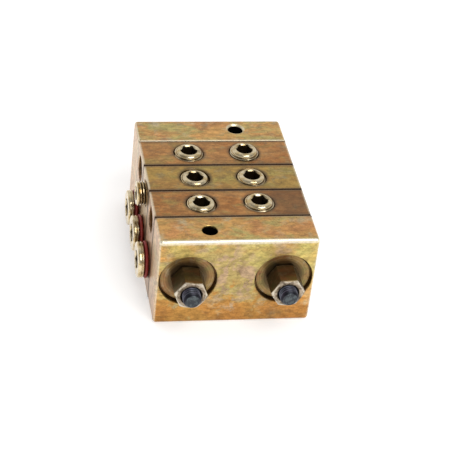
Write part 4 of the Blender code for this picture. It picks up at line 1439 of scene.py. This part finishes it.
class DIVIDER_OT_sections(bpy.types.Operator):
    """Three metering sections with their ports, bores and drillings"""

    bl_idname = "divider.sections"
    bl_label = "Metering sections"

    def drillings(self):
        """Cutters of the bores and drillings inside one section at Y = 0."""
        front_y = SECTION_LOW.y
        rear_y = SECTION_HIGH.y
        floor_z = BLOCK_TOP - TOP_PORT_DEPTH
        cutters = stud_hole_cutters("section", front_y, rear_y)
        cutters += seat_cutters("section", front_y)
        start = (0, front_y - SPARE, GALLERY_CENTRE.z)
        end = (0, rear_y + SPARE, GALLERY_CENTRE.z)
        cutters.append(add_drill("gallery", start, end, GALLERY_RADIUS))
        start = (LEFT_FACE + CHAMBER_DEPTH, 0, SPOOL_HEIGHT)
        end = (RIGHT_FACE - CHAMBER_DEPTH, 0, SPOOL_HEIGHT)
        cutters.append(add_drill("spool_bore", start, end, SPOOL_BORE_RADIUS, BORE_STEPS))
        for side, sign in SIDES.items():
            outlet_x = sign * PORT_CENTRE.x
            signal_x = sign * SIGNAL_CENTRE.x
            port_floor = FACE_X[side] - sign * (SIDE_PORT_DEPTH - SPARE)
            chamber_x = FACE_X[side] - sign * (CHAMBER_DEPTH + 2 * SIGNAL_DRILL_RADIUS)
            start = (outlet_x, 0, SPOOL_HEIGHT)
            cutters.append(add_drill("outlet", start, (outlet_x, 0, floor_z), OUTLET_DRILL_RADIUS))
            start = (outlet_x, 0, CROSS_DRILL_HEIGHT)
            end = (port_floor, 0, CROSS_DRILL_HEIGHT)
            cutters.append(add_drill("cross", start, end, OUTLET_DRILL_RADIUS))
            for face_y, inner_x in ((rear_y, signal_x), (front_y, chamber_x)):
                start = Vector((signal_x, face_y, SIGNAL_CENTRE.z))
                end = Vector((inner_x, 0, SPOOL_HEIGHT))
                reach = (end - start).normalized() * SPARE
                cutters.append(add_drill("signal", start - reach, end, SIGNAL_DRILL_RADIUS))
        return cutters

    def ports(self, sizes):
        """Cutters of the top ports, side ports and closure ports of one section at Y = 0."""
        closure_profile = [
            (0, SPARE),
            (CLOSURE_PORT_RADIUS, SPARE),
            (CLOSURE_PORT_RADIUS, -CLOSURE_PORT_DEPTH),
            (0, -CLOSURE_PORT_DEPTH),
        ]
        cutters = []
        for side, sign in SIDES.items():
            top = add_turned("top_port", hole_profile(TOP_PORT_RADIUS, TOP_PORT_DEPTH, TOP_PORT_MOUTH))
            settle(top, (sign * PORT_CENTRE.x, 0, BLOCK_TOP))
            closure = add_turned("closure_port", closure_profile, BORE_STEPS)
            settle(closure, (FACE_X[side], 0, SPOOL_HEIGHT), side)
            cutters += [top, closure]
            place = (FACE_X[side], 0, SIDE_PORT_HEIGHT)
            cutters += threaded_hole(
                f"side_port_{side}",
                SIDE_PORT_RADIUS,
                sizes.side_pitch,
                SIDE_PORT_DEPTH,
                SIDE_PORT_MOUTH,
                place,
                side,
            )
        return cutters

    def execute(self, context):
        sizes = context.scene.divider_sizes
        colours = context.scene.divider_colours
        pattern = add_box("section_pattern", SECTION_LOW, SECTION_HIGH)
        round_box(pattern, sizes.section_rounding, sizes.section_rounding, joint_side=1)
        cut(pattern, self.drillings() + self.ports(sizes))
        tones = {
            1: {"main": colours.brown, **SECTION_TONES["dark"]},
            2: SECTION_TONES["olive"],
            3: {"main": colours.brown, **SECTION_TONES["dark"]},
        }
        slots = {1: "brown_zinc_section", 2: "green_zinc_section", 3: "brown_zinc_section"}
        dims = {1: 0.0, 2: 0.0, 3: 0.6}
        for number in SECTIONS:
            shift = Vector((0, SECTION_Y[number], 0))
            block = copy_piece(pattern, f"section_body_{number}")
            settle(block, shift)
            finish_shape(block)
            finish = block_finish(
                f"{slots[number]}_{number}",
                box=(SECTION_LOW + shift, SECTION_HIGH + shift),
                joints=(SECTION_LOW.y + shift.y, SECTION_HIGH.y + shift.y),
                tones=tones[number],
                offset=(0.37 * number, 0.19 * number, 0.11 * number),
                edge_wear_and_highlight=0.45,
                joint_fade=0.0,
                dim=dims[number],
                ports=True,
            )
            hand_over(block, f"metering_section_{number}", finish)
        discard([pattern])
        return {"FINISHED"}


def cut_socket(plug, across_flats, depth, top, countersink):
    """Sink a hexagon socket with a countersunk mouth and a drill point into a plug at the origin."""
    socket = add_prism("socket", across_flats, top - depth, top + SPARE / 2)
    wide = across_flats / 2 + countersink
    drill = across_flats / 2 - FINE_EDGE
    profile = [
        (0, top + SPARE),
        (wide + SPARE, top + SPARE),
        (wide, top),
        (drill, top - countersink - FINE_EDGE),
        (drill, top - depth - FINE_EDGE),
        (0, top - depth - DRILL_POINT / 2),
    ]
    cut(plug, [socket, add_turned("socket_drill", profile, BORE_STEPS)])


class DIVIDER_OT_top_plugs(bpy.types.Operator):
    """Six taper plugs in the top ports: a rounded rim over a thread, and a hexagon socket"""

    bl_idname = "divider.top_plugs"
    bl_label = "Top plugs"

    def execute(self, context):
        sizes = context.scene.divider_sizes
        radius = TOP_PLUG_RADIUS
        length = TOP_PLUG_LENGTH
        tip = radius - length * PLUG_TAPER / 2
        root = radius - TOP_PLUG_THREAD_DEPTH
        plug = add_thread("plug_pattern", radius, root, sizes.plug_pitch, -length, 0)
        sleeve = add_turned(
            "plug_sleeve",
            [
                (0, -TOP_PLUG_RIM),
                (radius - SMALL_EDGE, -TOP_PLUG_RIM),
                (radius, -TOP_PLUG_RIM - SMALL_EDGE),
                (tip, -length + TIP_EDGE),
                (tip - TIP_EDGE, -length),
                (0, -length),
            ],
        )
        combine(plug, sleeve, "INTERSECT")
        rim = add_turned(
            "plug_rim",
            [(0, 0), (RIM_FLAT_RADIUS, 0)]
            + arc(RIM_CURVE_CENTRE, -RIM_CURVE, RIM_CURVE, 84, 8, 8)
            + [(RIM_RADIUS, -RIM_SIDE), (RIM_FOOT_RADIUS, -RIM_FOOT), (0, -RIM_FOOT)],
        )
        combine(plug, rim, "UNION")
        cut_socket(plug, TOP_PLUG_SOCKET_ACROSS_FLATS, TOP_PLUG_SOCKET_DEPTH, top=0, countersink=0.00055)
        mark_depth(plug, 0)
        finish_shape(plug)
        centre = (PORT_CENTRE.x, 0.0, BLOCK_TOP)
        finish = plug_finish("bright_top_plug", "XY", centre, TOP_PLUG_RADIUS, socket_radius=0.0041)
        for number in SECTIONS:
            for side, sign in SIDES.items():
                node = f"top_plug_{side}_{number}"
                copy = copy_piece(plug, f"taper_plug_{side}_{number}")
                settle(copy, (sign * PORT_CENTRE.x, SECTION_Y[number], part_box(node)[1].z))
                hand_over(copy, node, finish)
        discard([plug])
        return {"FINISHED"}


class DIVIDER_OT_side_plug(bpy.types.Operator):
    """Plug half unscrewed from the left side port of section 2"""

    bl_idname = "divider.side_plug"
    bl_label = "Side plug"

    def execute(self, context):
        sizes = context.scene.divider_sizes
        radius = SIDE_PLUG_RADIUS
        top = SIDE_PLUG_STAND
        base = top - SIDE_PLUG_LENGTH
        tip = radius - SIDE_PLUG_LENGTH * PLUG_TAPER / 2
        root = radius - SIDE_PLUG_THREAD_DEPTH
        plug = add_thread("threaded_side_plug", radius, root, sizes.side_pitch, base, top)
        sleeve = add_turned(
            "side_sleeve",
            [(0, top)]
            + arc(radius - RIM_ROUNDING, top - RIM_ROUNDING, RIM_ROUNDING, 90, 0)
            + [(tip, base + CHAMFER), (tip - CHAMFER, base), (0, base)],
        )
        combine(plug, sleeve, "INTERSECT")
        cut_socket(plug, SIDE_PLUG_SOCKET_ACROSS_FLATS, SIDE_PLUG_SOCKET_DEPTH, top, countersink=0.0005)
        mark_depth(plug, top)
        settle(plug, (LEFT_FACE, SECTION_Y[2], SIDE_PORT_HEIGHT), "left")
        finish_shape(plug)
        centre = (-LEFT_FACE, 0.0, SIDE_PORT_HEIGHT)
        finish = plug_finish("bright_side_plug", "YZ", centre, SIDE_PLUG_RADIUS, socket_radius=0.0036)
        hand_over(plug, "side_plug_left_2", finish)
        return {"FINISHED"}


class DIVIDER_OT_closure_plugs(bpy.types.Operator):
    """Six round plugs that close the spool bores"""

    bl_idname = "divider.closure_plugs"
    bl_label = "Closure plugs"

    def execute(self, context):
        head = CLOSURE_HEAD_RADIUS
        top = CLOSURE_HEAD_TOP
        base = CLOSURE_HEAD_BASE
        shank = CLOSURE_SHANK_RADIUS
        groove = HEAD_GROOVE
        groove_height = base + HEAD_GROOVE_HEIGHT
        profile = [(0, top), (head - HEAD_FLAT_EDGE, top)]
        profile += arc(head - HEAD_ROUNDING, top - HEAD_ROUNDING, HEAD_ROUNDING, 75, 8, 6)
        profile += [
            (head, groove_height + groove),
            (head - groove, groove_height),
            (head, groove_height - groove),
            (head, base + SMALL_EDGE),
            (head - SMALL_EDGE, base),
            (shank, base),
            (shank, -CLOSURE_SHANK_LENGTH + CHAMFER),
            (shank - CHAMFER, -CLOSURE_SHANK_LENGTH),
            (0, -CLOSURE_SHANK_LENGTH),
        ]
        plug = add_turned("closure_pattern", profile)
        cut_socket(plug, CLOSURE_SOCKET_ACROSS_FLATS, CLOSURE_SOCKET_DEPTH, top, countersink=0.0006)
        mark_depth(plug, top)
        finish_shape(plug)
        centre = (-LEFT_FACE, 0.0, SPOOL_HEIGHT)
        finish = plug_finish("bright_closure_plug", "YZ", centre, CLOSURE_HEAD_RADIUS, socket_radius=0.0047)
        place_at_bores(plug, "bore_plug", "closure_plug", finish)
        return {"FINISHED"}


class DIVIDER_OT_seal_washers(bpy.types.Operator):
    """Six red sealing washers, squeezed so that their edges bulge"""

    bl_idname = "divider.seal_washers"
    bl_label = "Seal washers"

    def execute(self, context):
        low = SEAL_BASE
        high = SEAL_BASE + SEAL_THICKNESS
        inner = SEAL_INNER_RADIUS
        outer = SEAL_OUTER_RADIUS
        middle = (low + high) / 2
        bulge = SEAL_THICKNESS / 2
        profile = arc(outer - SEAL_ROUNDING, middle, SEAL_ROUNDING, 70, -70, 7)
        flat = outer - SEAL_FLAT_EDGE
        profile = [(flat, high)] + profile + [(flat, low), (inner, low), (inner, high)]
        profile = [(radius, middle + max(-bulge, min(bulge, height - middle))) for radius, height in profile]
        profile.append(profile[0])
        ring = add_turned("seal_pattern", profile)
        finish_shape(ring)
        place_at_bores(ring, "seal_ring", "seal_washer", seal_finish())
        return {"FINISHED"}


class DIVIDER_OT_nuts(bpy.types.Operator):
    """Two extra high nuts: chamfered corners, countersunk and tapped"""

    bl_idname = "divider.nuts"
    bl_label = "Long nuts"

    def execute(self, context):
        sizes = context.scene.divider_sizes
        corner = NUT_ACROSS_FLATS / 2 / math.cos(math.pi / 6)
        face = NUT_ACROSS_FLATS / 2 - NUT_FACE_EDGE
        rise = (corner + SMALL_EDGE - face) * math.tan(math.radians(30))
        bore = STUD_THREAD_RADIUS
        crest = bore + NUT_THREAD_DEPTH
        root = bore - THREAD_HALF_DEPTH
        finish = nut_finish()
        for side, sign in SIDES.items():
            node = f"long_nut_{side}"
            nut = add_prism(f"high_nut_{side}", NUT_ACROSS_FLATS, 0, NUT_LENGTH)
            round_all(nut, NUT_ROUNDING)
            envelope = add_turned(
                "nut_envelope",
                [
                    (0, NUT_LENGTH),
                    (face, NUT_LENGTH),
                    (corner + SMALL_EDGE, NUT_LENGTH - rise),
                    (corner + SMALL_EDGE, rise),
                    (face, 0),
                    (0, 0),
                ],
            )
            combine(nut, envelope, "INTERSECT")
            hole = add_turned("nut_bore", through_profile(bore, 0, NUT_LENGTH, CHAMFER, CHAMFER), BORE_STEPS)
            thread = add_thread("nut_thread", crest, root, sizes.stud_pitch, -SPARE, NUT_LENGTH + SPARE)
            cut(nut, [hole, thread])
            finish_shape(nut)
            settle(nut, (sign * STUD_CENTRE.x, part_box(node)[1].y, STUD_CENTRE.z), "front", NUT_ROLL[side])
            hand_over(nut, node, finish)
        return {"FINISHED"}


class DIVIDER_OT_flat_washers(bpy.types.Operator):
    """Two large flat washers in the recesses"""

    bl_idname = "divider.flat_washers"
    bl_label = "Flat washers"

    def execute(self, context):
        low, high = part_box("flat_washer_right")
        thickness = high.y - low.y
        outer = (high.x - low.x) / 2
        inner = STUD_THREAD_RADIUS
        edge = SMALL_EDGE
        profile = [
            (outer - edge, thickness),
            (outer - edge * 0.3, thickness - edge * 0.3),
            (outer, thickness - edge),
            (outer, FINE_EDGE),
            (outer - FINE_EDGE, 0),
            (inner + FINE_EDGE, 0),
            (inner, FINE_EDGE),
            (inner, thickness - edge),
            (inner + edge, thickness),
            (outer - edge, thickness),
        ]
        ring = add_turned("washer_pattern", profile)
        finish_shape(ring)
        place_at_studs(ring, "large_washer", "flat_washer", high.y, washer_finish())
        return {"FINISHED"}


class DIVIDER_OT_studs(bpy.types.Operator):
    """Two threaded studs with a cone at each end"""

    bl_idname = "divider.studs"
    bl_label = "Studs"

    def execute(self, context):
        sizes = context.scene.divider_sizes
        low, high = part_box("tie_stud_right")
        length = high.y - low.y
        radius = STUD_RADIUS
        stud = add_thread("stud_pattern", radius, radius - STUD_THREAD_DEPTH, sizes.stud_pitch, 0, length)
        sleeve = add_turned(
            "stud_sleeve",
            [
                (0, length),
                (radius - STUD_POINT, length),
                (radius + STUD_SPARE, length - STUD_POINT - STUD_SPARE),
                (radius + STUD_SPARE, STUD_POINT + STUD_SPARE),
                (radius - STUD_POINT, 0),
                (0, 0),
            ],
            BORE_STEPS,
        )
        combine(stud, sleeve, "INTERSECT")
        finish_shape(stud)
        place_at_studs(stud, "threaded_stud", "tie_stud", high.y, stud_finish())
        return {"FINISHED"}


class DIVIDER_OT_inner_pieces(bpy.types.Operator):
    """Finishes of the spools and O-rings inside the block, whose CAD shapes stay"""

    bl_idname = "divider.inner_pieces"
    bl_label = "Spools and O-rings"

    def execute(self, context):
        ground = spool_finish()
        rubber = rubber_finish()
        for name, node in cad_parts.items():
            if name.startswith("spool_"):
                node.material_slots[0].material = ground
            elif name.startswith("o_ring_"):
                node.material_slots[0].material = rubber
        return {"FINISHED"}


def add_lamp(name, place, target, size, power):
    """A square area lamp that faces its target."""
    place = Vector(place)
    bpy.ops.object.select_all(action="DESELECT")
    bpy.ops.object.light_add(type="AREA", location=place)
    lamp = bpy.context.object
    lamp.name = name
    lamp.rotation_euler = (Vector(target) - place).to_track_quat("-Z", "Y").to_euler()
    lamp.data.shape = "SQUARE"
    lamp.data.size = size
    lamp.data.energy = power


class DIVIDER_OT_stage(bpy.types.Operator):
    """Pale floor, a soft lamp, world and the camera"""

    bl_idname = "divider.stage"
    bl_label = "Stage"

    def add_floor(self):
        bpy.ops.object.select_all(action="DESELECT")
        bpy.ops.mesh.primitive_plane_add(size=8, location=(0, 0, -FLOOR_GAP))
        bpy.ops.object.transform_apply(location=True, rotation=True, scale=True)
        floor = bpy.context.object
        floor.name = "pale_floor"
        finish, tree, shader, vector = new_finish("pale_floor", 0.0, 0.8)
        speckle = noise_of(tree, vector, "floor speckle")
        colour = mix_of(tree, speckle, TONES["floor dark"], TONES["floor bright"])
        tree.links.new(colour, shader.inputs["Base Color"])
        shader.inputs["Emission Color"].default_value = (1, 1, 1, 1)
        rays = tree.nodes.new("ShaderNodeLightPath").outputs
        direct = times(tree, rays["Is Camera Ray"], FLOOR_GLOW)
        extra = plus(tree, direct, times(tree, rays["Is Glossy Ray"], FLOOR_GLOW_IN_METAL))
        tree.links.new(extra, shader.inputs["Emission Strength"])
        floor.data.materials.append(finish)

    def add_world(self):
        world = bpy.data.worlds.new("pale_studio")
        bpy.context.scene.world = world
        world.use_nodes = True
        tree = world.node_tree
        background = tree.nodes["Background"]
        background.inputs["Color"].default_value = (1, 1, 1, 1)
        _, y, z = split(tree, tree.nodes.new("ShaderNodeTexCoord").outputs["Generated"])
        bright = math_of(tree, "MAXIMUM", mask_of(tree, y, "room depth"), mask_of(tree, z, "room height"))
        room = math_of(tree, "MULTIPLY_ADD", bright, ROOM_BRIGHT - ROOM_DIM, ROOM_DIM)
        seen = tree.nodes.new("ShaderNodeLightPath").outputs["Is Camera Ray"]
        unseen = times(tree, math_of(tree, "SUBTRACT", 1.0, seen), room)
        tree.links.new(plus(tree, unseen, seen), background.inputs["Strength"])

    def add_camera(self, scene):
        bpy.ops.object.select_all(action="DESELECT")
        bpy.ops.object.camera_add()
        camera = bpy.context.object
        turn = Matrix.Rotation(CAMERA_YAW, 3, "Z") @ Matrix.Rotation(CAMERA_PITCH, 3, "X")
        turn = turn @ Matrix.Rotation(CAMERA_ROLL, 3, "Y")
        axes = Matrix((turn.col[0], turn.col[2], -turn.col[1])).transposed()
        camera.matrix_world = Matrix.Translation(CAMERA_PLACE) @ axes.to_4x4()
        camera.data.lens = CAMERA_LENS
        camera.data.sensor_width = 36
        camera.data.clip_start = 0.01
        scene.camera = camera

    def execute(self, context):
        self.add_floor()
        self.add_world()
        add_lamp("key_softbox", place=(0.25, -0.62, 0.85), target=(0, 0, 0.03), size=0.70, power=6.5)
        self.add_camera(context.scene)
        context.scene.view_settings.view_transform = "Standard"
        return {"FINISHED"}


class DIVIDER_PT_panel(bpy.types.Panel):
    """Sizes, colours and the steps that build the looks"""

    bl_idname = "DIVIDER_PT_panel"
    bl_label = "Divider block"
    bl_space_type = "VIEW_3D"
    bl_region_type = "UI"
    bl_category = "Divider block"

    def draw(self, context):
        for settings in (context.scene.divider_sizes, context.scene.divider_colours):
            box = self.layout.box()
            for name in settings.__annotations__:
                box.prop(settings, name)
        column = self.layout.column(align=True)
        for operator in OPERATORS:
            column.operator(operator.bl_idname)


OPERATORS = (
    DIVIDER_OT_front_block,
    DIVIDER_OT_rear_block,
    DIVIDER_OT_sections,
    DIVIDER_OT_top_plugs,
    DIVIDER_OT_side_plug,
    DIVIDER_OT_closure_plugs,
    DIVIDER_OT_seal_washers,
    DIVIDER_OT_nuts,
    DIVIDER_OT_flat_washers,
    DIVIDER_OT_studs,
    DIVIDER_OT_inner_pieces,
    DIVIDER_OT_stage,
)
CLASSES = (DividerSizes, DividerColours, *OPERATORS, DIVIDER_PT_panel)


def register():
    for item in CLASSES:
        bpy.utils.register_class(item)
    bpy.types.Scene.divider_sizes = bpy.props.PointerProperty(type=DividerSizes)
    bpy.types.Scene.divider_colours = bpy.props.PointerProperty(type=DividerColours)


def unregister():
    del bpy.types.Scene.divider_colours
    del bpy.types.Scene.divider_sizes
    for item in reversed(CLASSES):
        bpy.utils.unregister_class(item)


def main():
    register()
    for operator in OPERATORS:
        group, name = operator.bl_idname.split(".")
        getattr(getattr(bpy.ops, group), name)()


if __name__ == "__main__":
    main()
